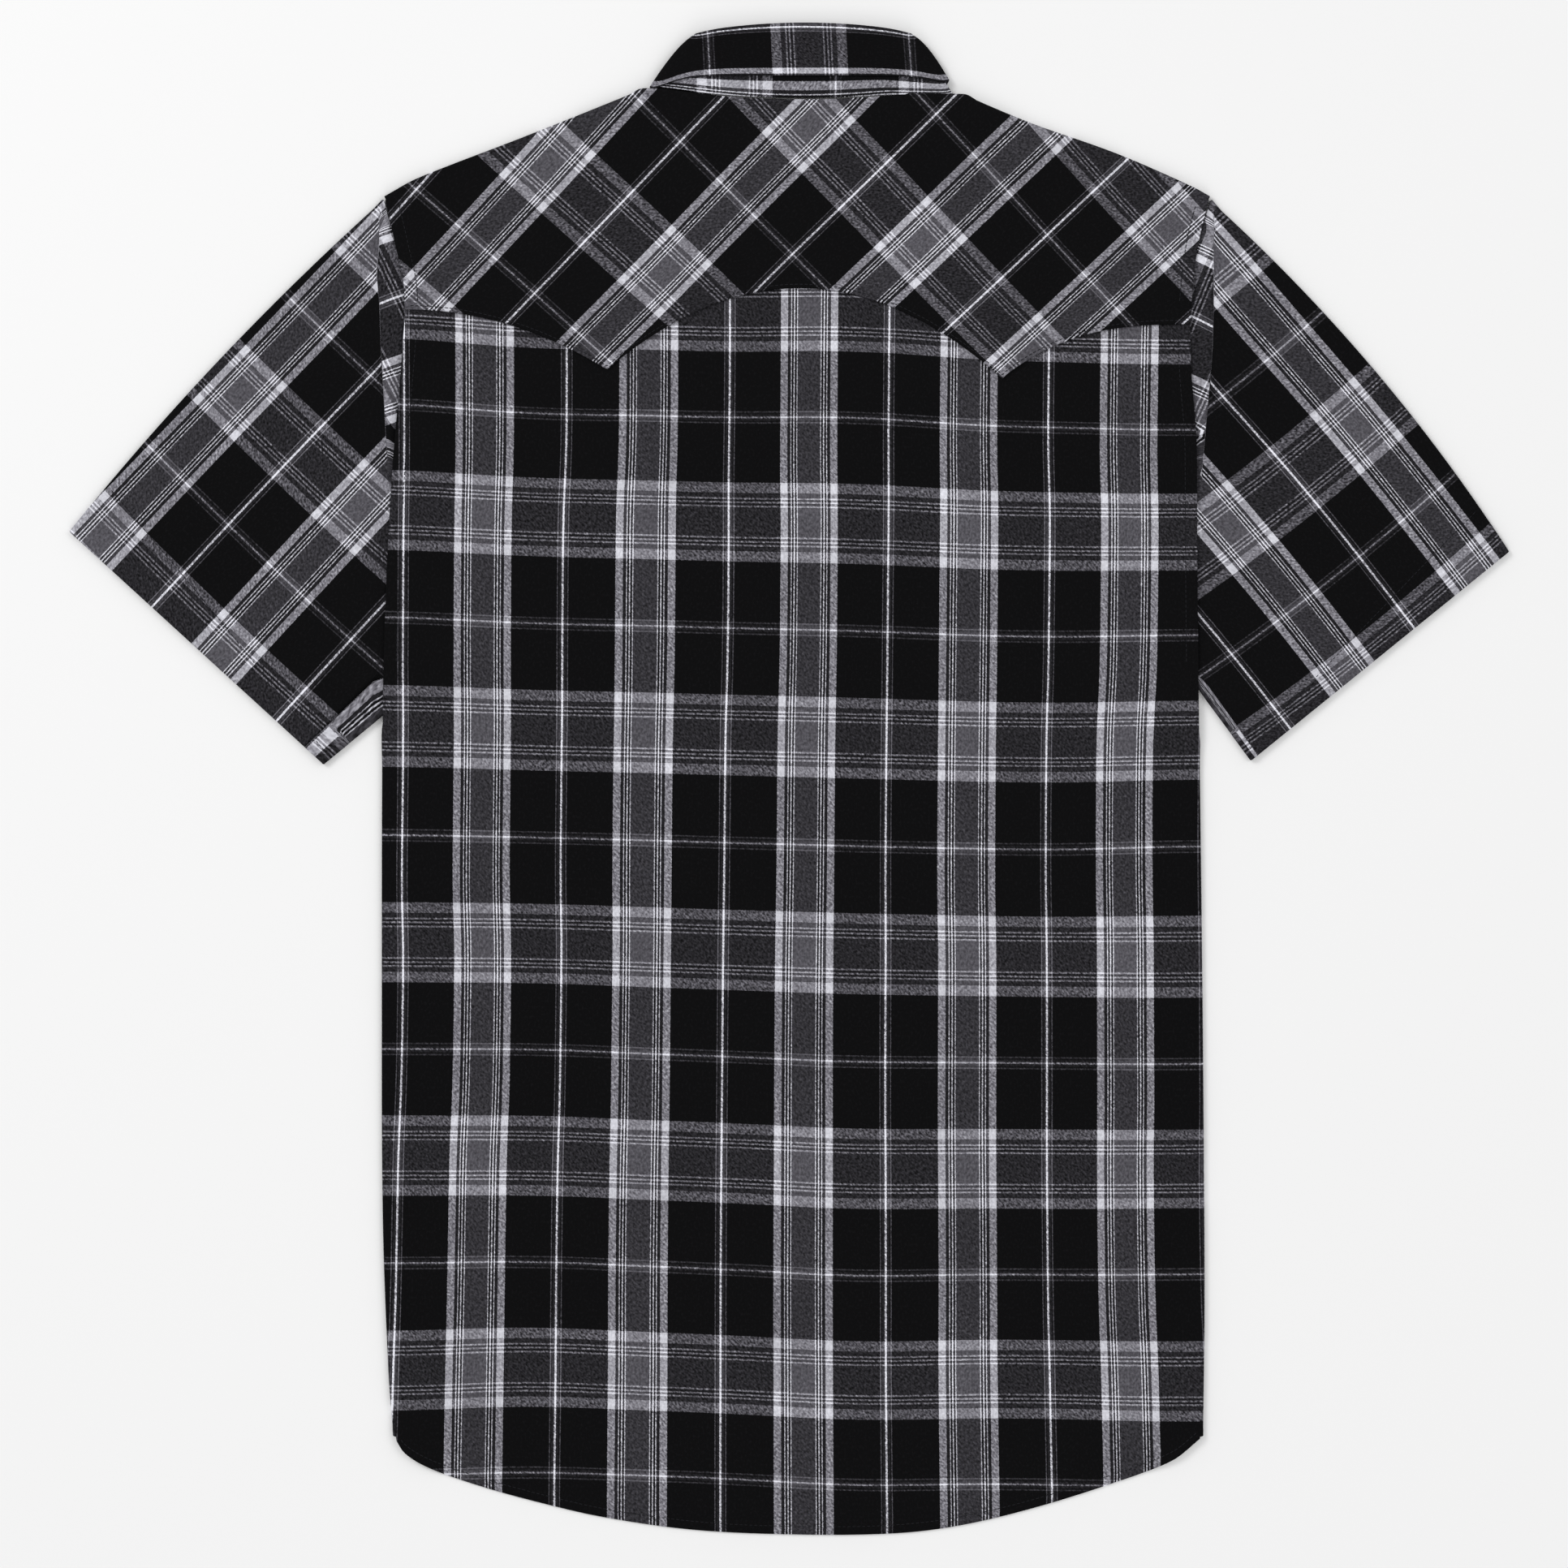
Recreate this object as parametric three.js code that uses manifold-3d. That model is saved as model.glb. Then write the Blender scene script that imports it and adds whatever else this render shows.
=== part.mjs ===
// A short-sleeved western snap shirt in plaid cotton, pressed flat and laid on its front, back up.
// Millimetres. +X runs to the right across the back, +Y towards the collar and +Z up.
// The shirt rests on z = 0, under the middle of its outline.

import * as THREE from 'three';
import { mergeVertices } from 'three/addons/utils/BufferGeometryUtils.js';
import Module from 'manifold-3d';

const wasm = await Module();
wasm.setup();

// Driving dimensions of the cloth
const CLOTH = 1.0; // one wall of shirting with its turnings
const COLLAR_CLOTH = 1.5; // the leaf: two plies and an interlining
const GAP = 0.3; // clearance at seams and between plies
const PLY = CLOTH + GAP; // pitch from one wall to the next

// Heights of the middle of each wall above the surface the shirt lies on
const FRONT_HEIGHT = CLOTH / 2;
const BACK_HEIGHT = 3.1;
const SLEEVE_HEIGHT = 2.8; // upper half of a flattened sleeve
const SLEEVE_SEAM_HEIGHT = 2.4; // where the sleeve is sewn in under the body's edge
const PLACKET_HEIGHT = 0.9;
const COLLAR_LIFT = 1.8; // the fronts ride over the points of the leaf
const STAND_BACK_HEIGHT = 4.4;
const LEAF_FRONT_HEIGHT = COLLAR_CLOTH / 2;
const LEAF_BACK_HEIGHT = 5.95;
const STAND_SWING = 1.95; // how far each band swells out where it rolls over beside the neck
const LEAF_SWING = 3.5;
const STAND_SHARE = 0.97; // the stand stops just short of the fold in the leaf

// Centre front, the placket and the snaps
const CENTRE = 6;
const PLACKET_HALF = 17;
const NECK_FRONT = 289; // front neckline at the centre
const SNAP_RADIUS = 5.7;
const SNAP_HOLE_RADIUS = 6.1;
const SNAP_HEIGHT = 1.1;
const SNAP_FACE_RADIUS = 4.3;
const SNAP_EDGE = 0.4;
const SNAP_BASE = 0.3;
const SNAP_SIDES = 24;
const SNAP_COUNT = 7;
const FIRST_SNAP = 243;
const SNAP_PITCH = 88;
const STAND_SNAP = { y: 303, base: 0.4 };

// Turnings, laps and seams
const SIDE_LIP = 8; // the back's turned strip under each side
const SHOULDER_LIP = 8; // the yoke's turned strip under each shoulder
const LIP_END = { low: 18, high: 32 }; // the side turning fades out below the underarm
const YOKE_LAP = 9; // the back runs on under the yoke
const FRONT_HEM_RISE = 14; // the front tail is shorter than the back tail
const SEAM_GAP = 0.5;
const NECK_GAP = 1.2;

// Side outline of the back and yoke: the armhole seam above y = 164, the side fold below
const leftSide = [
  { y: -348, x: -209.6 },
  { y: -314, x: -212.2 },
  { y: -232, x: -215.2 },
  { y: -103, x: -215.7 },
  { y: 43, x: -215.2 },
  { y: 112, x: -213.1 },
  { y: 164, x: -210.3 },
  { y: 188, x: -208.3 },
  { y: 228, x: -204.9 },
  { y: 259, x: -203.6 },
  { y: 284, x: -208.6 },
  { y: 309, x: -214.4 },
];
const rightSide = [
  { y: -348, x: 219.1 },
  { y: -275, x: 219.9 },
  { y: -146, x: 219.1 },
  { y: -60, x: 218.2 },
  { y: 43, x: 216.9 },
  { y: 112, x: 216.2 },
  { y: 154, x: 216.0 },
  { y: 183, x: 215.6 },
  { y: 216, x: 213.0 },
  { y: 245, x: 212.5 },
  { y: 269, x: 214.4 },
  { y: 289, x: 217.6 },
  { y: 309, x: 222.8 },
];

// Tail of the back, from the left corner round to the right one
const hemLine = [
  { x: -209.6, y: -348.0 },
  { x: -204.0, y: -356.7 },
  { x: -189.8, y: -365.3 },
  { x: -166.2, y: -373.9 },
  { x: -135.7, y: -382.5 },
  { x: -98.3, y: -391.1 },
  { x: -48.4, y: -398.0 },
  { x: 11.8, y: -400.4 },
  { x: 58.7, y: -399.5 },
  { x: 90.9, y: -395.4 },
  { x: 127.5, y: -386.8 },
  { x: 169.2, y: -373.9 },
  { x: 202.7, y: -361.0 },
  { x: 219.1, y: -348.0 },
];

// Shoulder folds, from each armhole up to the neck
const shoulderLine = {
  left: [
    { x: -214.4, y: 309.0 },
    { x: -197.2, y: 318.4 },
    { x: -142.1, y: 339.9 },
    { x: -98.7, y: 357.1 },
    { x: -74.0, y: 367.0 },
  ],
  right: [
    { x: 89.0, y: 364.0 },
    { x: 126.2, y: 348.5 },
    { x: 174.4, y: 331.3 },
    { x: 213.5, y: 314.1 },
    { x: 222.8, y: 309.0 },
  ],
};

// Lower edge of the yoke: an arch between two points, and a wing out to each armhole
const yoke = {
  arch: { x: 5.4, y: 260.4, fall: 0.00414 },
  leftPoint: { x: -96.3, y: 217.2 },
  rightPoint: { x: 112.9, y: 213.1 },
  leftWing: { x: -203.6, y: 249.2, power: 2.1 },
  rightWing: { x: 212.5, y: 241.4, power: 2.8 },
};

// Where the yoke's shoulder folds end at the neck, and the width over which they open out
const neckCorners = { left: -77, right: 92, turn: 7 };

// Collar: half ellipses of the neckline and of the leaf's fold, and the places on the back
const neck = { x: 7.5, y: 367.3, halfWidth: 77.5, dip: 6 };
const fold = { x: 7.5, y: 394.6, halfWidth: 57, crown: 4.1, front: 318 };
const leaf = {
  point: { x: -45, y: 262 },
  side: { x: -71, y: 366 },
  backEdge: 373.3,
  roll: 1.7,
  rollTurn: 1.9, // radians that the fold turns over the stand
};

// Soft lengthwise folds in the back: a ridge runs from one end to the other
const backFolds = [
  { x: 24, top: 205, bottom: -345, lean: -3, half: 15, height: 0.55 },
  { x: -176, top: 150, bottom: -330, lean: -9, half: 16, height: 0.7 },
  { x: 172, top: 225, bottom: -300, lean: 4, half: 16, height: 0.6 },
  { x: -92, top: 40, bottom: -390, lean: -5, half: 18, height: 0.4 },
];

// The pleat where each sleeve rolls out from under the armhole seam: its width at each height
const pleatWidth = {
  left: [
    { y: 40, width: 3 },
    { y: 164, width: 3 },
    { y: 185, width: 5.4 },
    { y: 225, width: 11.2 },
    { y: 252, width: 13.9 },
    { y: 268, width: 13.6 },
    { y: 284, width: 9 },
    { y: 309, width: 3 },
  ],
  right: [
    { y: 40, width: 3 },
    { y: 160, width: 3 },
    { y: 185, width: 5.2 },
    { y: 214, width: 10.2 },
    { y: 240, width: 12.4 },
    { y: 270, width: 10.6 },
    { y: 289, width: 7.4 },
    { y: 309, width: 3 },
  ],
};
const PLEAT_CREST = 4.6;
const PLEAT_FADE = { low: 160, full: 188, high: 306, top: 292 };

// Corners of the sleeves: bow is how far the top fold swells past a straight line
const sleeves = {
  left: {
    side: -1,
    tip: { x: -382.1, y: 132.2 },
    underTip: { x: -246.2, y: 7.8 },
    underarm: { x: -205, y: 43.6 },
    bow: 4.6,
  },
  right: {
    side: 1,
    tip: { x: 382.1, y: 121.5 },
    underTip: { x: 244.2, y: 9.8 },
    underarm: { x: 208, y: 62 },
    bow: 7.5,
  },
};

const lerp = THREE.MathUtils.lerp;
const clamp = THREE.MathUtils.clamp;
const toVector = (point, z) => new THREE.Vector3(point.x, point.y, z);

// 0 before t = 0 and 1 after t = 1, with a soft start and end
function ease(t) {
  const c = clamp(t, 0, 1);
  return c * c * (3 - 2 * c);
}

// 1 within half of the middle, falling softly to 0 over the ramp beyond it
function plateau(distance, half, ramp) {
  return ease((half + ramp - Math.abs(distance)) / ramp);
}

// A smooth function through the rows of a table, from one column to another
function through(rows, from, to) {
  const slope = (i) => {
    const a = rows[Math.max(0, i - 1)];
    const b = rows[Math.min(rows.length - 1, i + 1)];
    return (b[to] - a[to]) / (b[from] - a[from]);
  };
  return (value) => {
    let i = 0;
    while (i < rows.length - 2 && value > rows[i + 1][from]) i += 1;
    const a = rows[i];
    const b = rows[i + 1];
    const step = b[from] - a[from];
    const t = clamp((value - a[from]) / step, 0, 1);
    const blend = ease(t);
    const startSlope = slope(i) * step * t * (1 - t) * (1 - t);
    const endSlope = slope(i + 1) * step * t * t * (t - 1);
    return lerp(a[to], b[to], blend) + startSlope + endSlope;
  };
}

const sideEdge = { left: through(leftSide, 'y', 'x'), right: through(rightSide, 'y', 'x') };
const hemAt = through(hemLine, 'x', 'y');
const shoulderAt = {
  left: through(shoulderLine.left, 'x', 'y'),
  right: through(shoulderLine.right, 'x', 'y'),
};
const pleatAt = {
  left: through(pleatWidth.left, 'y', 'width'),
  right: through(pleatWidth.right, 'y', 'width'),
};

// Height of the yoke's lower edge at x
function yokeEdgeAt(x) {
  if (x < yoke.leftPoint.x) {
    const { x: end, y, power } = yoke.leftWing;
    const share = clamp((x - end) / (yoke.leftPoint.x - end), 0, 1);
    return lerp(y, yoke.leftPoint.y, share ** power);
  }
  if (x > yoke.rightPoint.x) {
    const { x: end, y, power } = yoke.rightWing;
    const share = clamp((end - x) / (end - yoke.rightPoint.x), 0, 1);
    return lerp(y, yoke.rightPoint.y, share ** power);
  }
  const away = x - yoke.arch.x;
  return yoke.arch.y - yoke.arch.fall * away * away;
}

// How far the fronts are lifted by the placket and by the leaf that lies under them
function frontLift(x, y) {
  const placketLift = PLACKET_HEIGHT + PLY - FRONT_HEIGHT;
  const overPlacket = placketLift * plateau(x - CENTRE, PLACKET_HALF + 15, 16);
  const overLeaf = COLLAR_LIFT * plateau(x - neck.x, 84, 14) * ease((y - 214) / 24);
  return Math.max(overPlacket, overLeaf);
}

// Middle of the left front, or of the right front where it lies inside the left one
function frontHeight(x, y, inner) {
  const lap = inner ? PLY * plateau(x - CENTRE, PLACKET_HALF + 15, 16) : 0;
  return FRONT_HEIGHT + frontLift(x, y) + lap;
}

// Soft ridges that run down the back
function foldHeight(x, y) {
  let height = 0;
  for (const row of backFolds) {
    const down = (row.top - y) / (row.top - row.bottom);
    const across = x - row.x - row.lean * down;
    const ends = ease(down * 5) * ease((1 - down) * 5);
    height += row.height * ends * plateau(across, 0, row.half);
  }
  return height;
}

// Middle of the back: over the fronts, the closed placket, the neck and the sleeves' seams
function backHeight(x, y) {
  const overPlacket = 1.95 * plateau(x - CENTRE, PLACKET_HALF + 16, 30);
  const overNeck = COLLAR_LIFT * plateau(x - neck.x, 96, 34) * ease((y - 176) / 60);
  const hole = Math.hypot((x - neck.x) / 70, (y - neck.y) / 52);
  const overHole = -1.0 * ease((1 - hole) / 0.45);
  const inboard = Math.min(x - sideEdge.left(y), sideEdge.right(y) - x);
  const overSleeve = 0.85 * ease((38 - inboard) / 22) * ease((y - 4) / 20);
  const lifted = BACK_HEIGHT + Math.max(overPlacket, overNeck) + overHole + overSleeve;
  const full = lifted + foldHeight(x, y);
  const hemWeight = ease((9 - (y - hemAt(x))) / 9) * ease((inboard - 10) / 24);
  return lerp(full, 0.75, hemWeight);
}

// Middle of the yoke, which rides over the back's top edge
function yokeHeight(x, y) {
  const lapped = ease((YOKE_LAP + 26 - (y - yokeEdgeAt(x))) / 22);
  return backHeight(x, y) + (PLY + 0.15) * lapped;
}

// A closed wall around a grid of middle points, half its thickness each way along the normals
function clothWall(grid, thickness, closedAcross = false) {
  const rows = grid.length;
  const columns = grid[0].length;
  const last = columns - 1;
  const column = (j) => (closedAcross ? (j + columns) % columns : clamp(j, 0, last));
  const faces = [[], []];
  for (let i = 0; i < rows; i += 1) {
    for (let j = 0; j < columns; j += 1) {
      const across = grid[i][column(j + 1)].clone().sub(grid[i][column(j - 1)]);
      const along = grid[Math.min(rows - 1, i + 1)][j].clone().sub(grid[Math.max(0, i - 1)][j]);
      const offset = across.cross(along).setLength(thickness / 2);
      faces[0].push(grid[i][j].clone().add(offset));
      faces[1].push(grid[i][j].clone().sub(offset));
    }
  }
  const outer = (i, j) => i * columns + column(j);
  const inner = (i, j) => rows * columns + outer(i, j);
  const index = [];
  const quad = (a, b, c, d) => index.push(a, b, c, a, c, d);
  const spans = closedAcross ? columns : last;
  for (let i = 0; i < rows - 1; i += 1) {
    for (let j = 0; j < spans; j += 1) {
      quad(outer(i, j), outer(i, j + 1), outer(i + 1, j + 1), outer(i + 1, j));
      quad(inner(i, j), inner(i + 1, j), inner(i + 1, j + 1), inner(i, j + 1));
    }
    if (!closedAcross) {
      quad(outer(i, 0), outer(i + 1, 0), inner(i + 1, 0), inner(i, 0));
      quad(outer(i + 1, last), outer(i, last), inner(i, last), inner(i + 1, last));
    }
  }
  const end = rows - 1;
  for (let j = 0; j < spans; j += 1) {
    quad(outer(0, j + 1), outer(0, j), inner(0, j), inner(0, j + 1));
    quad(outer(end, j), outer(end, j + 1), inner(end, j + 1), inner(end, j));
  }
  const geometry = new THREE.BufferGeometry().setFromPoints([...faces[0], ...faces[1]]);
  geometry.setIndex(index);
  return geometry;
}

// Fills a patch between four edges, each a function from 0..1 to a plan point
function patch(bottom, top, left, right, across, up) {
  const corners = [bottom(0), bottom(1), top(0), top(1)];
  const value = (key, s, t) => {
    const ruled = lerp(bottom(s)[key], top(s)[key], t) + lerp(left(t)[key], right(t)[key], s);
    const low = lerp(corners[0][key], corners[1][key], s);
    const high = lerp(corners[2][key], corners[3][key], s);
    return ruled - lerp(low, high, t);
  };
  return up.map((t) => across.map((s) => ({ x: value('x', s, t), y: value('y', s, t) })));
}

// Evenly spaced shares between 0 and 1, both ends included
const evenly = (count) => Array.from({ length: count + 1 }, (_, i) => i / count);

// Reads a value between stations, each [share, value], in straight steps
function between(stations, share) {
  let i = 0;
  while (i < stations.length - 2 && share > stations[i + 1][0]) i += 1;
  const [s0, v0] = stations[i];
  const [s1, v1] = stations[i + 1];
  return lerp(v0, v1, (share - s0) / (s1 - s0));
}

// Points of an edge that rolls over and turns under: an arc, then a flat lip
function turnedEdge(start, outward, drop, share, lip) {
  const radius = drop / 2;
  const points = [];
  for (const part of [0.25, 0.5, 0.75, 1]) {
    const angle = Math.PI * part * share;
    const step = outward.clone().multiplyScalar(radius * Math.sin(angle));
    step.z = radius * (Math.cos(angle) - 1);
    points.push(start.clone().add(step));
  }
  const inward = outward.clone().multiplyScalar(-lip * share);
  points.push(points[3].clone().add(inward));
  return points;
}

// The back: hem to yoke, with both sides rolled under above the side seams
function backGrid() {
  const radius = (BACK_HEIGHT - FRONT_HEIGHT) / 2;
  const lapLine = (x) => yokeEdgeAt(x) + YOKE_LAP;
  const topY = { left: lapLine(yoke.leftWing.x), right: lapLine(yoke.rightWing.x) };
  const bottomY = { left: -348, right: -348 };
  const edge = (name) => (t) => {
    const y = lerp(bottomY[name], topY[name], t);
    return { x: sideEdge[name](y), y };
  };
  const left = edge('left');
  const right = edge('right');
  const hemX = [[0, left(0).x], [0.25, -100], [0.75, 112], [1, right(0).x]];
  const topX = [[0, left(1).x], [0.25, yoke.leftPoint.x], [0.75, yoke.rightPoint.x], [1, right(1).x]];
  const bottom = (s) => ({ x: between(hemX, s), y: hemAt(between(hemX, s)) });
  const top = (s) => ({ x: between(topX, s), y: lapLine(between(topX, s)) });
  const up = [0, 0.006, 0.012, 0.023, ...evenly(19).slice(1)];
  const across = [0, 0.012, ...evenly(24).slice(1, -1), 0.988, 1];
  const plan = patch(bottom, top, left, right, across, up);
  return plan.map((row) => {
    const share = ease((LIP_END.high - row[0].y) / (LIP_END.high - LIP_END.low));
    const points = row.map(({ x, y }, j) => {
      const inset = j === 0 ? radius * share : j === row.length - 1 ? -radius * share : 0;
      return new THREE.Vector3(x + inset, y, backHeight(x, y));
    });
    const turn = (start, side) => {
      const drop = start.z - FRONT_HEIGHT;
      const lip = SIDE_LIP * Math.max(share, 0.05);
      return turnedEdge(start, new THREE.Vector3(side, 0, 0), drop, Math.max(share, 0.05), lip);
    };
    return [...turn(points[0], -1).reverse(), ...points, ...turn(points[points.length - 1], 1)];
  });
}

// Height of the collar seam behind the neck at x
function neckSeamAt(x) {
  const q = clamp((x - neck.x + neck.halfWidth) / (2 * neck.halfWidth), 0, 1);
  return neck.y - neck.dip * 4 * q * (1 - q);
}

// Top edge of the yoke: along the left shoulder, behind the neck and down the right shoulder
function yokeTop(share) {
  const { left, right, turn } = neckCorners;
  const turnStations = [[9 / 28, left - turn], [10 / 28, left], [18 / 28, right], [19 / 28, right + turn]];
  const x = between([[0, -214.4], ...turnStations, [1, 222.8]], share);
  if (x <= left) return { x, y: shoulderAt.left(x) };
  if (x >= right) return { x, y: shoulderAt.right(x) };
  const across = (x - left) / (right - left);
  const ends = lerp(shoulderAt.left(left), shoulderAt.right(right), across);
  return { x, y: Math.min(ends, neckSeamAt(x) - NECK_GAP) };
}

// The yoke: its pointed lower edge, and shoulders that roll under to the front seams
function yokeGrid() {
  const edge = (name) => {
    const start = name === 'left' ? yoke.leftWing.y : yoke.rightWing.y;
    return (t) => {
      const y = lerp(start, 309, t);
      return { x: sideEdge[name](y), y };
    };
  };
  const left = edge('left');
  const right = edge('right');
  const lowX = [[0, left(0).x], [0.25, yoke.leftPoint.x], [0.75, yoke.rightPoint.x], [1, right(0).x]];
  const bottom = (s) => ({ x: between(lowX, s), y: yokeEdgeAt(between(lowX, s)) });
  const plan = patch(bottom, yokeTop, left, right, evenly(28), evenly(8));
  const grid = plan.map((row) => row.map(({ x, y }) => new THREE.Vector3(x, y, yokeHeight(x, y))));
  const topRow = grid[grid.length - 1];
  const turned = topRow.map((point, j) => {
    const before = topRow[Math.max(0, j - 1)];
    const after = topRow[Math.min(topRow.length - 1, j + 1)];
    const outward = new THREE.Vector3(before.y - after.y, after.x - before.x, 0).normalize();
    const neckShare = Math.abs(j - 14) <= 4 ? 1 : 0;
    const share = lerp(1, 0.12, neckShare);
    const drop = point.z - frontHeight(point.x, point.y, false);
    point.addScaledVector(outward, -drop / 2 * share);
    return turnedEdge(point, outward, drop, share, SHOULDER_LIP);
  });
  for (let k = 0; k < turned[0].length; k += 1) grid.push(turned.map((points) => points[k]));
  return grid;
}

// Top edge of a front: from the armhole along the shoulder seam, then down round the neckline
function frontTop(name, share) {
  const side = name === 'left' ? -1 : 1;
  const seamDrop = SHOULDER_LIP + 4;
  const radii = { x: neck.halfWidth + NECK_GAP, y: neck.y - NECK_FRONT + NECK_GAP };
  const sideAngle = Math.acos(seamDrop / radii.y);
  const neckEnd = neck.x + side * radii.x * Math.sin(sideAngle);
  const armX = sideEdge[name](298) - side * 3.7;
  if (share <= 0.5) {
    const x = lerp(armX, neckEnd, share * 2);
    return { x, y: shoulderAt[name](x) - seamDrop };
  }
  const centreAngle = -Math.asin((PLACKET_HALF + (CENTRE - neck.x) * -side) / radii.x);
  const angle = lerp(sideAngle, centreAngle, share * 2 - 1);
  return { x: neck.x + side * radii.x * Math.sin(angle), y: neck.y - radii.y * Math.cos(angle) };
}

// How far a sleeve's seam lies in under the body's edge: less beside the yoke, none at its fold
function armholeTuck(y) {
  return lerp(2 + 6 * ease((205 - y) / 60), -0.8, ease((y - 284) / 14));
}

// A front: side seam and armhole on one side, the centre edge on the other
function frontGrid(name) {
  const side = name === 'left' ? -1 : 1;
  const armholeInset = (y) => lerp(SIDE_LIP + 1.8, Math.max(2, armholeTuck(y)) + 1.2, ease((y - 16) / 14));
  const low = -348 + FRONT_HEM_RISE + 2;
  const high = frontTop(name, 0).y;
  const centreX = CENTRE - side * PLACKET_HALF;
  const outer = (t) => {
    const y = lerp(low, high, t);
    return { x: sideEdge[name](y) - side * (armholeInset(y) + SEAM_GAP), y };
  };
  const bottom = (s) => {
    const x = lerp(outer(0).x, centreX, s);
    const rise = hemAt(x) + FRONT_HEM_RISE;
    return { x, y: lerp(low, rise, ease(s * 12)) };
  };
  const inner = (t) => ({ x: centreX, y: lerp(bottom(1).y, frontTop(name, 1).y, t) });
  const top = (s) => (s === 1 ? inner(1) : s === 0 ? outer(1) : frontTop(name, s));
  const across = [...evenly(10).map((s) => s * 0.79), 0.845, 0.92, 1];
  const plan = patch(bottom, top, outer, inner, across, evenly(22));
  return plan.map((row) => row.map(({ x, y }) => toVector({ x, y }, frontHeight(x, y, side > 0))));
}

// The placket: a band on the left front's outer face, with a hole at each snap
function placketGeometry() {
  const rows = evenly(20).map((t) => {
    const y = lerp(hemAt(CENTRE) + FRONT_HEM_RISE + 0.5, NECK_FRONT - 1.5, t);
    return evenly(4).map((s) => {
      const x = CENTRE + lerp(-PLACKET_HALF, PLACKET_HALF, s);
      return new THREE.Vector3(x, y, PLACKET_HEIGHT);
    });
  });
  let band = toManifold(clothWall(rows, CLOTH));
  for (const y of snapPlaces()) {
    const drill = new THREE.CylinderGeometry(SNAP_HOLE_RADIUS, SNAP_HOLE_RADIUS, 6, SNAP_SIDES);
    drill.rotateX(Math.PI / 2);
    drill.translate(CENTRE, y, 0);
    band = band.subtract(toManifold(drill));
  }
  return fromManifold(band);
}

const snapPlaces = () => Array.from({ length: SNAP_COUNT }, (_, i) => FIRST_SNAP - i * SNAP_PITCH);

// One snap cap, face down: a flat face with a bevelled rim
function snapGeometry(y, base) {
  const profile = [
    new THREE.Vector2(0, 0),
    new THREE.Vector2(SNAP_FACE_RADIUS, 0),
    new THREE.Vector2(SNAP_RADIUS, SNAP_EDGE),
    new THREE.Vector2(SNAP_RADIUS, SNAP_HEIGHT),
    new THREE.Vector2(0, SNAP_HEIGHT),
  ];
  const cap = new THREE.LatheGeometry(profile, SNAP_SIDES);
  cap.rotateX(Math.PI / 2);
  cap.translate(CENTRE, y, base);
  return fromManifold(toManifold(cap));
}

// A flattened sleeve: rings from the armhole out to the hem, rolled at the top fold and underarm
function sleeveGrid(name) {
  const { side, tip, underTip, underarm, bow } = sleeves[name];
  const shoulder = { x: sideEdge[name](309), y: 309 };
  const radius = (SLEEVE_HEIGHT - FRONT_HEIGHT) / 2;
  const unit = (a, b) => new THREE.Vector3(b.x - a.x, b.y - a.y, 0).normalize();
  const topRun = unit(shoulder, tip);
  const underRun = unit(underarm, underTip);
  const topOut = new THREE.Vector3(-topRun.y * side, topRun.x * side, 0);
  const underOut = new THREE.Vector3(underRun.y * side, -underRun.x * side, 0);
  const shares = evenly(13);

  // Points of one line that runs from the armhole, over the pleat and out to the hem
  const line = (f) => {
    const y = lerp(shoulder.y - 2.2, underarm.y + 2, f);
    const edge = sideEdge[name](y);
    const width = pleatAt[name](y);
    const rise = ease((y - PLEAT_FADE.low) / (PLEAT_FADE.full - PLEAT_FADE.low));
    const full = rise * ease((PLEAT_FADE.high - y) / (PLEAT_FADE.high - PLEAT_FADE.top));
    const steps = [
      { out: -armholeTuck(y), z: SLEEVE_SEAM_HEIGHT },
      { out: 1.2, z: SLEEVE_SEAM_HEIGHT },
      { out: 1.2 + (width - 1.2) * 0.3, z: lerp(SLEEVE_SEAM_HEIGHT, PLEAT_CREST, full * 0.85) },
      { out: width * 0.7, z: lerp(SLEEVE_SEAM_HEIGHT, PLEAT_CREST, full) },
      { out: width - 0.7, z: lerp(SLEEVE_SEAM_HEIGHT, PLEAT_CREST - 0.4, full) },
      { out: width + 0.9, z: lerp(SLEEVE_SEAM_HEIGHT, PLEAT_CREST - 1.6, full) },
      { out: width + 3.5, z: SLEEVE_HEIGHT },
    ];
    const points = steps.map(({ out, z }) => new THREE.Vector3(edge + side * out, y, z));
    const start = points[points.length - 1];
    const hemShare = lerp(0.012, 0.988, f);
    const end = new THREE.Vector3(lerp(tip.x, underTip.x, hemShare), lerp(tip.y, underTip.y, hemShare), 0);
    for (const v of [0.12, 0.26, 0.4, 0.55, 0.7, 0.85, 1]) {
      const point = start.clone().lerp(end, v);
      point.addScaledVector(topOut, bow * 4 * v * (1 - v) * (1 - f) ** 2);
      point.z = SLEEVE_HEIGHT + 0.5 * Math.sin(Math.PI * v) * Math.sin(Math.PI * f);
      points.push(point);
    }
    return points;
  };

  const lines = shares.map(line);
  return lines[0].map((_, row) => {
    const upper = lines.map((points) => points[row]);
    const lower = upper.map((p) => new THREE.Vector3(p.x, p.y, FRONT_HEIGHT));
    const roll = (start, outward) => {
      const half = (start.z - FRONT_HEIGHT) / 2;
      return [0.25, 0.5, 0.75].map((part) => {
        const angle = Math.PI * part;
        const point = start.clone().addScaledVector(outward, radius * Math.sin(angle));
        point.z = start.z + half * (Math.cos(angle) - 1);
        return point;
      });
    };
    const underRoll = roll(upper[upper.length - 1], underOut);
    const topRoll = roll(upper[0], topOut).reverse();
    return [...upper, ...underRoll, ...lower.reverse(), ...topRoll];
  });
}

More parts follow.
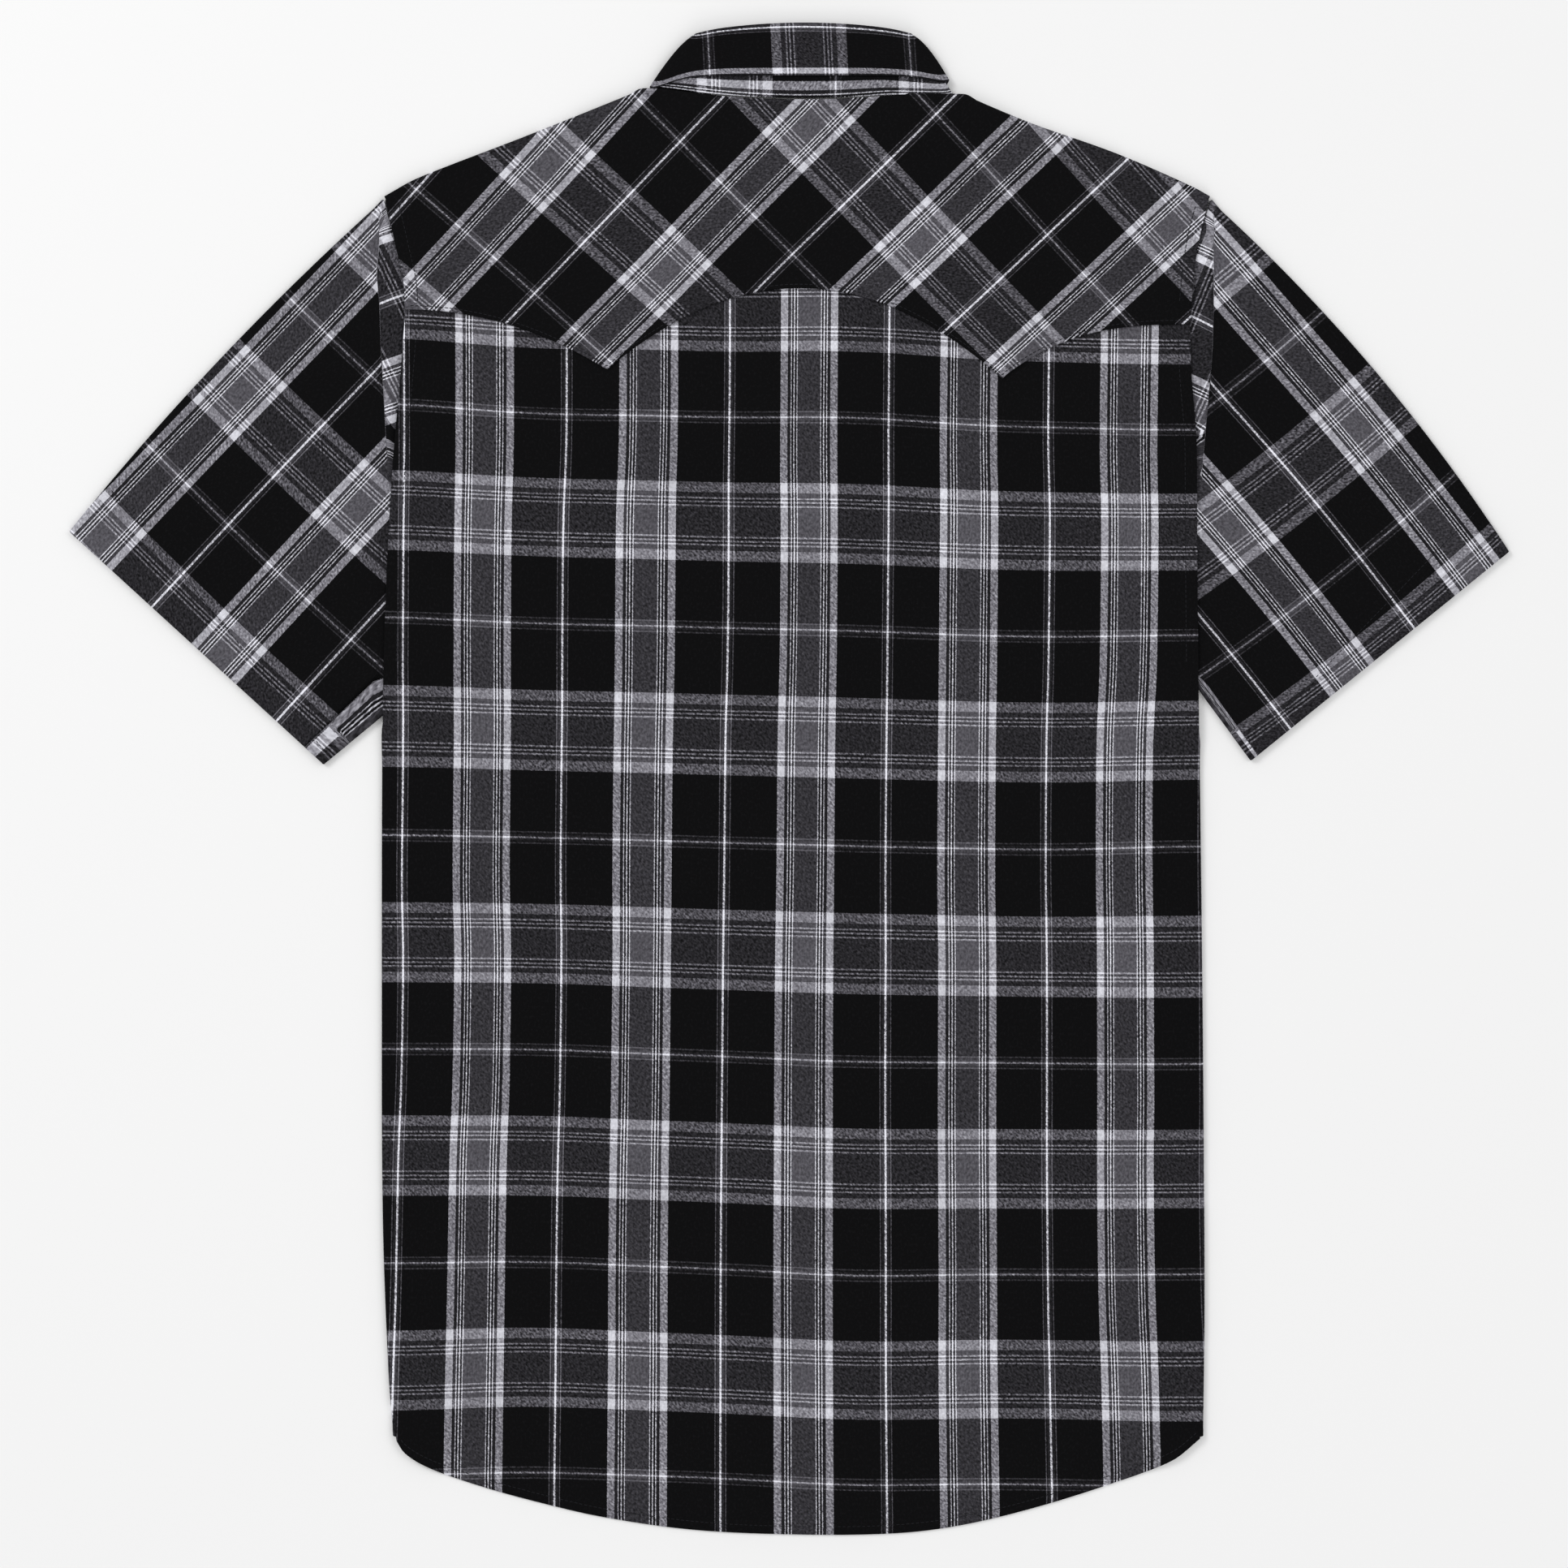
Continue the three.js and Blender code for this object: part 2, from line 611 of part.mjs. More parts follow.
// Stations round the collar: from one end at the centre front, behind the neck, to the other end
function collarStations(endShare) {
  const stations = [];
  for (const q of evenly(9)) stations.push({ part: 'front', side: -1, q: lerp(endShare, 1, q) });
  for (const q of [0.17, 0.34, 0.5, 0.66, 0.83]) stations.push({ part: 'roll', side: -1, q });
  for (const q of evenly(12)) stations.push({ part: 'back', side: 0, q });
  for (const q of [0.83, 0.66, 0.5, 0.34, 0.17]) stations.push({ part: 'roll', side: 1, q });
  for (const q of evenly(9)) stations.push({ part: 'front', side: 1, q: lerp(1, endShare, q) });
  return stations;
}

// Plan of the line that the leaf folds on, level with a station
function foldLine({ part, side, q }) {
  if (part === 'back') {
    const x = lerp(fold.x - fold.halfWidth, fold.x + fold.halfWidth, q);
    return { x, y: fold.y + fold.crown * 4 * q * (1 - q) };
  }
  const angle = part === 'roll' ? Math.PI / 2 : (q * Math.PI) / 2;
  const depth = fold.y - fold.front;
  return { x: fold.x + side * fold.halfWidth * Math.sin(angle), y: fold.y - depth * Math.cos(angle) };
}

// Plan of the seam where the stand is sewn to the neckline
function neckLine({ part, side, q }) {
  if (part === 'back') {
    const x = lerp(neck.x - neck.halfWidth, neck.x + neck.halfWidth, q);
    return { x, y: neckSeamAt(x) };
  }
  const angle = part === 'roll' ? Math.PI / 2 : (q * Math.PI) / 2;
  const depth = neck.y - NECK_FRONT;
  return { x: neck.x + side * neck.halfWidth * Math.sin(angle), y: neck.y - depth * Math.cos(angle) };
}

// Plan of the leaf's outer edge: straight across the back, and a pointed flap on each front
function leafEdge({ part, side, q }) {
  const mirror = (x) => (side > 0 ? 2 * neck.x - x : x);
  if (part === 'back') {
    const x = lerp(leaf.side.x, mirrorX(leaf.side.x), q);
    const flat = 1 - Math.abs(2 * q - 1) ** 5;
    return { x, y: lerp(leaf.side.y, leaf.backEdge, flat) };
  }
  if (part === 'roll') return { x: mirror(leaf.side.x), y: leaf.side.y };
  const bend = 2 * q * (1 - q);
  const x = (1 - q) ** 2 * leaf.point.x + bend * (leaf.side.x - 1.5) + q * q * leaf.side.x;
  const y = (1 - q) ** 2 * leaf.point.y + bend * 312 + q * q * leaf.side.y;
  return { x: mirror(x), y };
}

const mirrorX = (x) => 2 * neck.x - x;

// A collar band between two plan lines. It runs low on the fronts and high behind the neck,
// and rolls over at each side of the neck. Returns the middle points, station by station.
function collarGrid(stations, outerLine, innerLine, heights, across, rollOver) {
  const mid = (heights.low + heights.high) / 2;
  const radius = (heights.high - heights.low) / 2;
  return stations.map((station) => {
    const outer = outerLine(station);
    const inner = innerLine(station);
    const run = new THREE.Vector3(inner.x - outer.x, inner.y - outer.y, 0).normalize();
    const sideways = new THREE.Vector3(-run.y, run.x, 0);
    if (station.side > 0) sideways.negate();
    const angle = Math.PI * (station.part === 'roll' ? station.q : station.part === 'back' ? 1 : 0);
    const swing = station.part === 'roll' ? heights.swing * Math.sin(angle) : 0;
    const z = mid - radius * Math.cos(angle) + heights.step(station);
    const place = (share) => {
      const point = new THREE.Vector3(lerp(outer.x, inner.x, share), lerp(outer.y, inner.y, share), z);
      return point.addScaledVector(sideways, swing);
    };
    const points = across.map(place);
    if (rollOver) {
      const inward = sideways.clone().multiplyScalar(-Math.sin(angle));
      inward.z = Math.cos(angle);
      const start = points[points.length - 1].clone();
      for (const part of [0.25, 0.5, 0.75, 1]) {
        const turn = leaf.rollTurn * part;
        const point = start.clone().addScaledVector(run, leaf.roll * Math.sin(turn));
        points.push(point.addScaledVector(inward, leaf.roll * (1 - Math.cos(turn))));
      }
    }
    return points;
  });
}

// The stand: a plain band whose left end laps outside its right end at the centre front
function standGrid() {
  const heights = {
    low: FRONT_HEIGHT + COLLAR_LIFT,
    high: STAND_BACK_HEIGHT,
    swing: STAND_SWING,
    step: ({ part, side, q }) => (part === 'front' && side > 0 ? PLY * ease((0.6 - q) / 0.35) : 0),
  };
  const across = evenly(3).map((share) => share * STAND_SHARE);
  return collarGrid(collarStations(-0.12), neckLine, foldLine, heights, across, false);
}

// The leaf: folded over the stand, wide at its two points
function leafGrid() {
  const heights = { low: LEAF_FRONT_HEIGHT, high: LEAF_BACK_HEIGHT, swing: LEAF_SWING, step: () => 0 };
  return collarGrid(collarStations(0.06), leafEdge, foldLine, heights, evenly(4), true);
}

function toManifold(geometry) {
  const plain = geometry.clone();
  plain.deleteAttribute('normal');
  plain.deleteAttribute('uv');
  const merged = mergeVertices(plain, 1e-3);
  const mesh = new wasm.Mesh({
    numProp: 3,
    vertProperties: new Float32Array(merged.getAttribute('position').array),
    triVerts: new Uint32Array(merged.getIndex().array),
  });
  return new wasm.Manifold(mesh);
}

function fromManifold(solid) {
  const { vertProperties, triVerts } = solid.getMesh();
  const geometry = new THREE.BufferGeometry();
  geometry.setAttribute('position', new THREE.BufferAttribute(new Float32Array(vertProperties), 3));
  geometry.setIndex(Array.from(triVerts));
  return geometry;
}

const plaid = new THREE.MeshStandardMaterial({ color: 0x2c2c30, roughness: 0.9, metalness: 0 });
const pearl = new THREE.MeshStandardMaterial({ color: 0x3a3a40, roughness: 0.25, metalness: 0.1 });

const shirt = new THREE.Group();

function addPiece(name, geometry, material) {
  const mesh = new THREE.Mesh(geometry, material);
  mesh.name = name;
  shirt.add(mesh);
}

addPiece('back', clothWall(backGrid(), CLOTH), plaid);
addPiece('back_yoke', clothWall(yokeGrid(), CLOTH), plaid);
addPiece('front_left', clothWall(frontGrid('left'), CLOTH), plaid);
addPiece('front_right', clothWall(frontGrid('right'), CLOTH), plaid);
addPiece('placket', placketGeometry(), plaid);
addPiece('sleeve_left', clothWall(sleeveGrid('left'), CLOTH, true), plaid);
addPiece('sleeve_right', clothWall(sleeveGrid('right'), CLOTH, true), plaid);
addPiece('collar_stand', clothWall(standGrid(), CLOTH), plaid);
addPiece('collar_leaf', clothWall(leafGrid(), COLLAR_CLOTH), plaid);
snapPlaces().forEach((y, i) => addPiece(`snap_${i + 1}`, snapGeometry(y, SNAP_BASE), pearl));
addPiece('snap_collar', snapGeometry(STAND_SNAP.y, STAND_SNAP.base), pearl);

// The middle of the outline goes on the origin
const middle = new THREE.Box3().setFromObject(shirt).getCenter(new THREE.Vector3());
for (const mesh of shirt.children) mesh.geometry.translate(-middle.x, -middle.y, 0);

export default shirt;
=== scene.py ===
"""A short-sleeved western snap shirt in plaid cotton, pressed flat and laid on its front, back up.

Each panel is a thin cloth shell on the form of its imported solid, with the plaid on its own map.
Sizes in the tables are millimetres in the maker's plan; MM and SHIFT bring them into the frame.
"""

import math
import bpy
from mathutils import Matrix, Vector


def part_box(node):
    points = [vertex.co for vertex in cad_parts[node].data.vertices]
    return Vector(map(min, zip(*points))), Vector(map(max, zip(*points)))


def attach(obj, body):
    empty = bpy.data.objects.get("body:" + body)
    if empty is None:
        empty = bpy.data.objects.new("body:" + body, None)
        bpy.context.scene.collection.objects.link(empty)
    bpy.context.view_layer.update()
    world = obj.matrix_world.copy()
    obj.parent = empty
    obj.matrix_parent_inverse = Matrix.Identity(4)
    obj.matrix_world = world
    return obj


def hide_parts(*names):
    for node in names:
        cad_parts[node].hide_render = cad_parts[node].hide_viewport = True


bl_info = {
    "name": "Western snap shirt",
    "version": (1, 0, 0),
    "blender": (4, 5, 0),
    "location": "3D View > Sidebar > Shirt",
    "description": "Dresses the solids of a laid-flat western shirt in plaid cotton",
    "category": "Add Mesh",
}

import bpy
import numpy as np

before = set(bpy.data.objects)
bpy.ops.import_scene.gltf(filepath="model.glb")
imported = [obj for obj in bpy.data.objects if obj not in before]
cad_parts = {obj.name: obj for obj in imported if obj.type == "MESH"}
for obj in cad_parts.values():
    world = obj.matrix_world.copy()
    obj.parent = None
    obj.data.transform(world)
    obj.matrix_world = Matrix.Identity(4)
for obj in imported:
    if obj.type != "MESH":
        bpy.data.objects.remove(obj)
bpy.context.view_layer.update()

MM = 0.001

# Heights of the middle of each wall above the surface the shirt lies on
FRONT_HEIGHT = 0.5
BACK_HEIGHT = 3.1
SLEEVE_HEIGHT = 2.8
SLEEVE_SEAM_HEIGHT = 2.4
PLACKET_HEIGHT = 0.9
COLLAR_LIFT = 1.8
STAND_BACK_HEIGHT = 4.4
LEAF_FRONT_HEIGHT = 0.75
LEAF_BACK_HEIGHT = 5.95
TAIL_HEIGHT = 0.75
PLY = 1.3  # from one ply to the next

# The collar: how far its rolls swing out at the sides of the neck, how far up the stand reaches as a share
# of the way to the fold, and how far up the quarter ellipse on each front the stand and the leaf start
STAND_SWING = 1.95
LEAF_SWING = 3.5
STAND_SHARE = 0.97
STAND_END = -0.12
LEAF_END = 0.06

# Centre front, the placket and the snaps, with the room that is pressed up round each snap
CENTRE = 6
PLACKET_HALF = 17
NECK_FRONT = 289
FIRST_SNAP = 243
SNAP_PITCH = 88
SNAP_COUNT = 7
PLACKET_CLOTH = 0.5
SNAP_ROOM = 6.6
SNAP_RAMP = 1.6
SNAP_LIFT = 0.72

# Turnings, laps and seams
SIDE_LIP = 8
SHOULDER_LIP = 8
LIP_END = (18, 32)
YOKE_LAP = 9
FRONT_HEM_RISE = 14
SEAM_GAP = 0.5
NECK_GAP = 1.2
FRONT_ARM = {"y": 298, "in": 3.7}
FRONT_SIDE = {"lip": 1.8, "tuck": 2, "armhole": 1.2, "from": 16, "ramp": 14}

# Lifts where a panel goes over something: height, half width and the ramp beyond it, lowest y and its ramp
FRONT_OVER_PLACKET = (PLACKET_HEIGHT + PLY - FRONT_HEIGHT, PLACKET_HALF + 15, 16)
FRONT_OVER_LEAF = (COLLAR_LIFT, 84, 14, 214, 24)
BACK_OVER_PLACKET = (1.95, PLACKET_HALF + 16, 30)
BACK_OVER_COLLAR = (COLLAR_LIFT, 96, 34, 176, 60)
BACK_OVER_SLEEVE = (0.85, 16, 22, 4, 20)
NECK_HOLE = {"half": 70, "deep": 52, "sink": 1.0, "ramp": 0.45}
TAIL_DROP = {"reach": 9, "inboard": 10, "ramp": 24}
YOKE_STEP = {"height": PLY + 0.15, "reach": YOKE_LAP + 26, "ramp": 22}
PUCKER = {"height": 0.10, "pitch": 9.0, "reach": 9, "ramp": 7}
CREASE_DEPTH = 1.8

# From an edge to its stitches, and how far the thread lies in
STITCH_IN = {"yoke": 1.7, "armhole left": 6.6, "armhole right": 6.2, "leaf": 5.5, "placket": 4, "front": 5}
SINK = {"placket": 0.18, "front": 0.12, "sleeve": 0.15}

# How far a sleeve's seam lies in under the body's edge: beside the yoke, then further down and at the
# shoulder, each with the y where it starts and its ramp
TUCK = {"yoke": 2, "low": (8, 205, 60), "shoulder": (-0.8, 284, 14)}

# Side outline of the back and yoke: y, x
LEFT_SIDE = np.array([
    (-348, -209.6), (-314, -212.2), (-232, -215.2), (-103, -215.7), (43, -215.2), (112, -213.1),
    (164, -210.3), (188, -208.3), (228, -204.9), (259, -203.6), (284, -208.6), (309, -214.4),
])
RIGHT_SIDE = np.array([
    (-348, 219.1), (-275, 219.9), (-146, 219.1), (-60, 218.2), (43, 216.9), (112, 216.2), (154, 216.0),
    (183, 215.6), (216, 213.0), (245, 212.5), (269, 214.4), (289, 217.6), (309, 222.8),
])
TAIL_SIDE, SHOULDER_FOLD = LEFT_SIDE[0, 0], LEFT_SIDE[-1, 0]

# Tail of the back: x, y
HEM_LINE = np.array([
    (-209.6, -348.0), (-204.0, -356.7), (-189.8, -365.3), (-166.2, -373.9), (-135.7, -382.5),
    (-98.3, -391.1), (-48.4, -398.0), (11.8, -400.4), (58.7, -399.5), (90.9, -395.4), (127.5, -386.8),
    (169.2, -373.9), (202.7, -361.0), (219.1, -348.0),
])

# Shoulder folds: x, y
LEFT_SHOULDER = np.array([(-214.4, 309.0), (-197.2, 318.4), (-142.1, 339.9), (-98.7, 357.1), (-74.0, 367.0)])
RIGHT_SHOULDER = np.array([(89.0, 364.0), (126.2, 348.5), (174.4, 331.3), (213.5, 314.1), (222.8, 309.0)])

# Lower edge of the yoke
ARCH = {"x": 5.4, "y": 260.4, "fall": 0.00414}
LEFT_POINT = (-96.3, 217.2)
RIGHT_POINT = (112.9, 213.1)
LEFT_WING = {"x": -203.6, "y": 249.2, "power": 2.1}
RIGHT_WING = {"x": 212.5, "y": 241.4, "power": 2.8}
NECK_LEFT, NECK_RIGHT, NECK_TURN = -77, 92, 7
# Shares of the yoke's top where the left shoulder ends, the neck starts and ends and the right one starts
YOKE_SPANS = 28
NECK_SHARES = tuple(k / YOKE_SPANS for k in (9, 10, 18, 19))
# Shares of the way across where the points are, and x of the hem's columns that meet them
QUARTERS = (0, 0.25, 0.75, 1)
HEM_QUARTERS = (-100, 112)

# Collar
NECK = {"x": 7.5, "y": 367.3, "half": 77.5, "dip": 6, "ends": (366.4, 362.4)}
FOLD = {"x": 7.5, "y": 394.6, "half": 57, "crown": 4.1, "front": 318, "droop": 1.2, "ends": (394.6,) * 2}
LEAF = {
    "point": (-45, 262), "left": (-71.3, 365), "right": (82, 368.8), "back_edge": 373.3,
    "bend": (1.5, 312), "roll": 1.7, "turn": 1.9,
}

# Soft lengthwise folds in the back, as in the solids: x, top, bottom, lean, half width, height
BACK_FOLDS = (
    (24, 205, -345, -3, 15, 0.55),
    (-176, 150, -330, -9, 16, 0.7),
    (172, 225, -300, 4, 16, 0.6),
    (-92, 40, -390, -5, 18, 0.4),
)

# Finer creases that the pressing left: x and y of each end, half width, height
BACK_CREASES = (
    (31, 181, 28, 86, 8, 0.34),
    (-18, 211, -21, 138, 9, 0.26),
    (83, 146, 81, 26, 11, 0.28),
    (-117, 138, -119, -17, 13, 0.30),
    (141, -17, 137, -232, 15, 0.34),
    (-160, -81, -165, -275, 13, 0.30),
    (16, -81, 12, -296, 11, 0.34),
    (-40, -167, -44, -361, 14, 0.30),
    (89, -189, 94, -352, 13, 0.24),
    (-204, 96, -150, 52, 8, -0.42),
    (-207, 70, -168, 30, 6, 0.36),
    (-206, 40, -180, 6, 6, -0.34),
    (206, 84, 160, 40, 9, -0.34),
    (207, 52, 176, 8, 7, 0.30),
)
YOKE_CREASES = (
    (-182, 300, -110, 262, 10, 0.26),
    (-96, 318, -60, 250, 9, -0.24),
    (40, 338, 60, 262, 11, 0.24),
    (132, 316, 172, 262, 9, 0.28),
    (-14, 336, -22, 290, 6, -0.36),
    (176, 306, 206, 262, 7, -0.24),
)
SLEEVE_CREASES = {
    "left": (
        (-236, 232, -300, 160, 9, 0.5),
        (-232, 190, -276, 124, 8, -0.4),
        (-224, 120, -270, 70, 7, 0.45),
        (-330, 150, -352, 118, 6, 0.4),
        (-262, 40, -232, 70, 6, 0.55),
        (-254, 26, -226, 52, 4, -0.45),
        (-214, 92, -236, 56, 5, 0.5),
    ),
    "right": (
        (236, 236, 292, 168, 9, 0.5),
        (230, 178, 262, 120, 8, -0.4),
        (228, 112, 262, 60, 7, 0.45),
        (330, 140, 346, 104, 6, 0.35),
        (250, 40, 236, 76, 5, 0.4),
    ),
}

# Width of the pleat where each sleeve rolls out from under the armhole: y, width
LEFT_PLEAT = np.array([
    (40, 3), (164, 3), (185, 5.4), (225, 11.2), (252, 13.9), (268, 13.6), (284, 9), (309, 3),
])
RIGHT_PLEAT = np.array([
    (40, 3), (160, 3), (185, 5.2), (214, 10.2), (240, 12.4), (270, 10.6), (289, 7.4), (309, 3),
])
PLEAT_CREST = 4.6
PLEAT_FADE = {"low": 160, "full": 188, "high": 306, "top": 292}
PLEAT_START = 1.2

# Points of each sleeve in the plan, and how far its top edge bows out
SLEEVES = {
    "left": {
        "side": -1, "tip": (-382.1, 132.2), "under_tip": (-246.2, 7.8), "underarm": (-205, 43.6), "bow": 4.6,
    },
    "right": {
        "side": 1, "tip": (382.1, 121.5), "under_tip": (244.2, 9.8), "underarm": (208, 62), "bow": 7.5,
    },
}
# Rows of a sleeve's grid: those of the pleat, those that carry its stripes, and the points round a fold
PLEAT_ROWS = 19
STRIPED_ROWS = 14
FOLD_POINTS = 7

# Cloth from the sleeve's other side that rolls into view along the underarm: where it starts, as a share
# of the way from shoulder to underarm, how far it stands up and the unevenness of its edge
ROLLED = {
    "left": {"from": 0.936, "rise": 0.6, "uneven": 0.3},
    "right": {"from": 0.983, "rise": 0.3, "uneven": 0.1},
}

# Stripes on the pleats: x and y where the lengthwise stripe 1 and the crosswise stripe 0 pass, and how fast
# each stripe number grows with x and with y, in stripes per 100 mm
PLEAT_STRIPES = {
    "left": ((-209.5, 255.0, 0.83, -2.07), (-210.7, 237.2, -1.60, -0.74)),
    "right": ((218.5, 242.9, 1.12, 2.10), (218.5, 226.6, 1.63, -0.66)),
}

# Where the plaid lies on the cloth. An even number is the middle of a wide band, an odd one the middle
# of a group of thin lines. Lengthwise stripes on the back: y, then x of stripes -5 to 5
BACK_WARP = (
    (219.5, -204.0, -161.9, -117.6, -74.2, -30.7, 10.1, 52.7, 95.2, 137.0, 180.4, 222.5),
    (97.0, -204.5, -162.8, -120.6, -76.5, -31.6, 11.0, 51.4, 95.2, 137.8, 180.4, 222.5),
    (-15.7, -204.9, -162.8, -121.5, -78.0, -33.8, 9.2, 50.5, 94.4, 136.1, 176.9, 219.5),
    (-127.5, -204.9, -161.9, -121.5, -78.9, -35.0, 7.5, 50.5, 95.2, 136.5, 177.8, 220.4),
    (-241.4, -207.9, -165.3, -123.6, -80.4, -35.9, 7.1, 51.0, 95.2, 137.0, 177.8, 220.4),
    (-351.1, -210.9, -167.1, -124.5, -80.8, -36.3, 7.5, 51.4, 95.2, 139.1, 181.2, 223.8),
)
# Crosswise stripes on the back: x, then y of stripes -2 to 9
BACK_WEFT = (
    (-210.9, 254.8, 199.3, 143.4, 86.2, 28.6, -29.9, -86.2, -143.0, -198.9, -256.5, -314.1, -369.6),
    (-136.1, 249.2, 192.9, 140.0, 82.3, 26.4, -31.2, -86.6, -143.0, -198.9, -255.6, -310.7, -367.0),
    (-48.8, 247.9, 191.6, 137.4, 80.6, 24.3, -33.3, -89.7, -146.4, -202.3, -259.1, -314.5, -369.6),
    (37.2, 248.3, 191.6, 135.7, 78.5, 22.1, -35.5, -92.2, -149.9, -206.2, -263.4, -318.4, -373.9),
    (122.3, 242.7, 186.4, 132.2, 75.5, 20.0, -37.2, -94.0, -150.3, -206.2, -262.5, -317.1, -373.5),
    (214.4, 241.0, 184.3, 131.4, 76.8, 20.9, -34.6, -94.8, -151.1, -206.2, -261.7, -319.3, -375.2),
)
# Crossings: lengthwise stripe, crosswise stripe, x, y
YOKE_CROSSINGS = (
    (-1, 1, -198.1, 312.0), (0, 0, -200.3, 247.5), (0, 1, -166.2, 284.7), (0, 2, -129.0, 324.5),
    (0, 3, -88.5, 370.0), (1, 1, -135.1, 257.5), (1, 2, -96.8, 297.6), (1, 3, -57.0, 337.8),
    (2, 1, -105.7, 229.5), (2, 2, -64.2, 269.1), (2, 3, -27.9, 307.7), (2, 4, 10.6, 345.1),
    (3, 3, 0.3, 278.7), (3, 4, 41.0, 317.2), (3, 5, 76.9, 351.3), (4, 3, 31.6, 247.5),
    (4, 4, 69.4, 284.1), (4, 5, 107.7, 321.8), (4, 6, 145.0, 355.9), (5, 4, 100.0, 251.5),
    (5, 5, 138.1, 289.1), (5, 6, 172.6, 321.3), (6, 4, 128.1, 225.4), (6, 5, 164.9, 257.6),
    (6, 6, 201.9, 294.5),
)
SLEEVE_CROSSINGS = {
    "left": (
        (0, 0, -215.6, 284.1), (0, 1, -253.4, 244.3), (0, 2, -290.8, 204.4), (0, 3, -328.8, 165.7),
        (0, 4, -365.4, 127.6), (1, 1, -221.6, 213.8), (1, 2, -260.2, 175.2), (1, 3, -297.3, 135.3),
        (1, 4, -333.2, 95.6), (2, 2, -227.9, 144.3), (2, 3, -265.6, 103.9), (2, 4, -301.9, 65.2),
        (3, 3, -232.2, 74.4), (3, 4, -268.8, 34.1),
    ),
    "right": (
        (-1, 3, 235.0, 66.6), (-1, 4, 266.0, 26.0), (0, 2, 233.2, 133.3), (0, 3, 268.6, 91.2),
        (0, 4, 299.6, 51.4), (1, 1, 229.3, 202.8), (1, 2, 269.1, 160.1), (1, 3, 302.2, 119.0),
        (1, 4, 333.1, 77.4), (2, 0, 224.1, 276.6), (2, 1, 262.6, 231.6), (2, 2, 301.3, 186.4),
        (2, 3, 334.5, 145.4), (2, 4, 365.6, 106.2),
    ),
}
# Half a repeat across the lengthwise and the crosswise stripes, and for the crosswise ones along the leaf
# and along the stand: the middle of a wide band and half a repeat there
WARP_HALF = 42.6
WEFT_HALF = 56.8
LEAF_WEFT = (10.0, 53.4)
STAND_WEFT = (-29.0, 53.6)

# Lengthwise stripes on the leaf: how far under the fold the thin lines run, the stripe number along the
# outer edge, and how closely the stripes lie. On the stand: the step of the light stripe, how many steps
# above the seam it runs, and its closeness with what the fronts add
LEAF_WARP = {"under_fold": 0.3, "edge": 1.742, "close": 1.26}
STAND_WARP = {"stripe": 26.5, "up": 8.5, "close": 0.8, "front": 0.4}

# How much each stripe lightens the black cloth: where it starts, in 0.43 mm steps from the middle of
# the wide band, and how light its yarns make it up to the next row. The pattern is the same both ways from
# there, and half a repeat on it reaches the middle of the thin lines
WARP_STRIPES = (
    (0.0, 0.152), (14.1, 0.58), (15.4, 0.03), (17.75, 0.60), (19.05, 0.03), (21.3, 0.58), (22.6, 0.07),
    (26.4, 0.445), (35.3, 0.0), (91.9, 0.22), (93.0, 0.02), (94.8, 0.08), (97.8, 0.66),
)
WEFT_STRIPES = (
    (0.0, 0.10), (18.4, 0.32), (20.4, 0.06), (23.3, 0.32), (25.3, 0.06), (28.2, 0.32), (30.2, 0.09),
    (36.3, 0.265), (46.0, 0.245), (49.5, 0.0), (123.9, 0.13), (125.7, 0.03), (128.2, 0.07), (130.8, 0.34),
)
BLACK = 0.07  # the black cloth itself, as it shows
TOGETHER = 0.22  # how much more shows where stripes cross
STEP = 0.43
GRAIN = 1.9
TWILL_PITCH = 0.95

low, high = (np.array(corner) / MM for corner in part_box("snap_1"))
SHIFT = (low + high) / 2 - np.array((CENTRE, FIRST_SNAP, 0))
SHIFT[2] = 0


def lerp(a, b, t):
    """The straight mix of a and b."""
    return a + (b - a) * t


def ease(t):
    """0 before t = 0 and 1 after t = 1: 3 t^2 - 2 t^3 between them."""
    c = np.clip(t, 0, 1)
    return c * c * (3 - 2 * c)


def plateau(distance, half, ramp):
    """1 within half of the middle, falling softly to 0 over the ramp beyond it."""
    return ease((half + ramp - np.abs(distance)) / ramp)


def through(rows, value):
    """Cubic Hermite curve through the rows of a table, with the slope at a row taken from its neighbours."""
    at, to = rows[:, 0], rows[:, 1]
    before = np.maximum(np.arange(len(at)) - 1, 0)
    after = np.minimum(np.arange(len(at)) + 1, len(at) - 1)
    slope = (to[after] - to[before]) / (at[after] - at[before])
    i = np.clip(np.searchsorted(at, value) - 1, 0, len(at) - 2)
    step = at[i + 1] - at[i]
    t = np.clip((value - at[i]) / step, 0, 1)
    bend = slope[i] * step * t * (1 - t) ** 2 + slope[i + 1] * step * t * t * (t - 1)
    return lerp(to[i], to[i + 1], ease(t)) + bend


def side_edge(name, y):
    """x of the body's side or armhole at a height."""
    return through(LEFT_SIDE if name == "left" else RIGHT_SIDE, y)


def shoulder_at(name, x):
    """y of the shoulder's fold."""
    return through(LEFT_SHOULDER if name == "left" else RIGHT_SHOULDER, x)


def hem_at(x):
    """y of the tail's edge."""
    return through(HEM_LINE, x)


def creases(rows, x, y):
    """Sum of long soft ridges: each is its height times a bell across it and a soft start and end."""
    height = np.zeros(np.broadcast(x, y).shape)
    for x0, y0, x1, y1, half, rise in rows:
        run = np.array((x1 - x0, y1 - y0), float)
        length = np.hypot(*run)
        run /= length
        along = (x - x0) * run[0] + (y - y0) * run[1]
        across = (y - y0) * run[0] - (x - x0) * run[1]
        ends = ease(along / length * 3) * ease((length - along) / length * 3)
        height += rise * ends * plateau(across, 0, half)
    return height


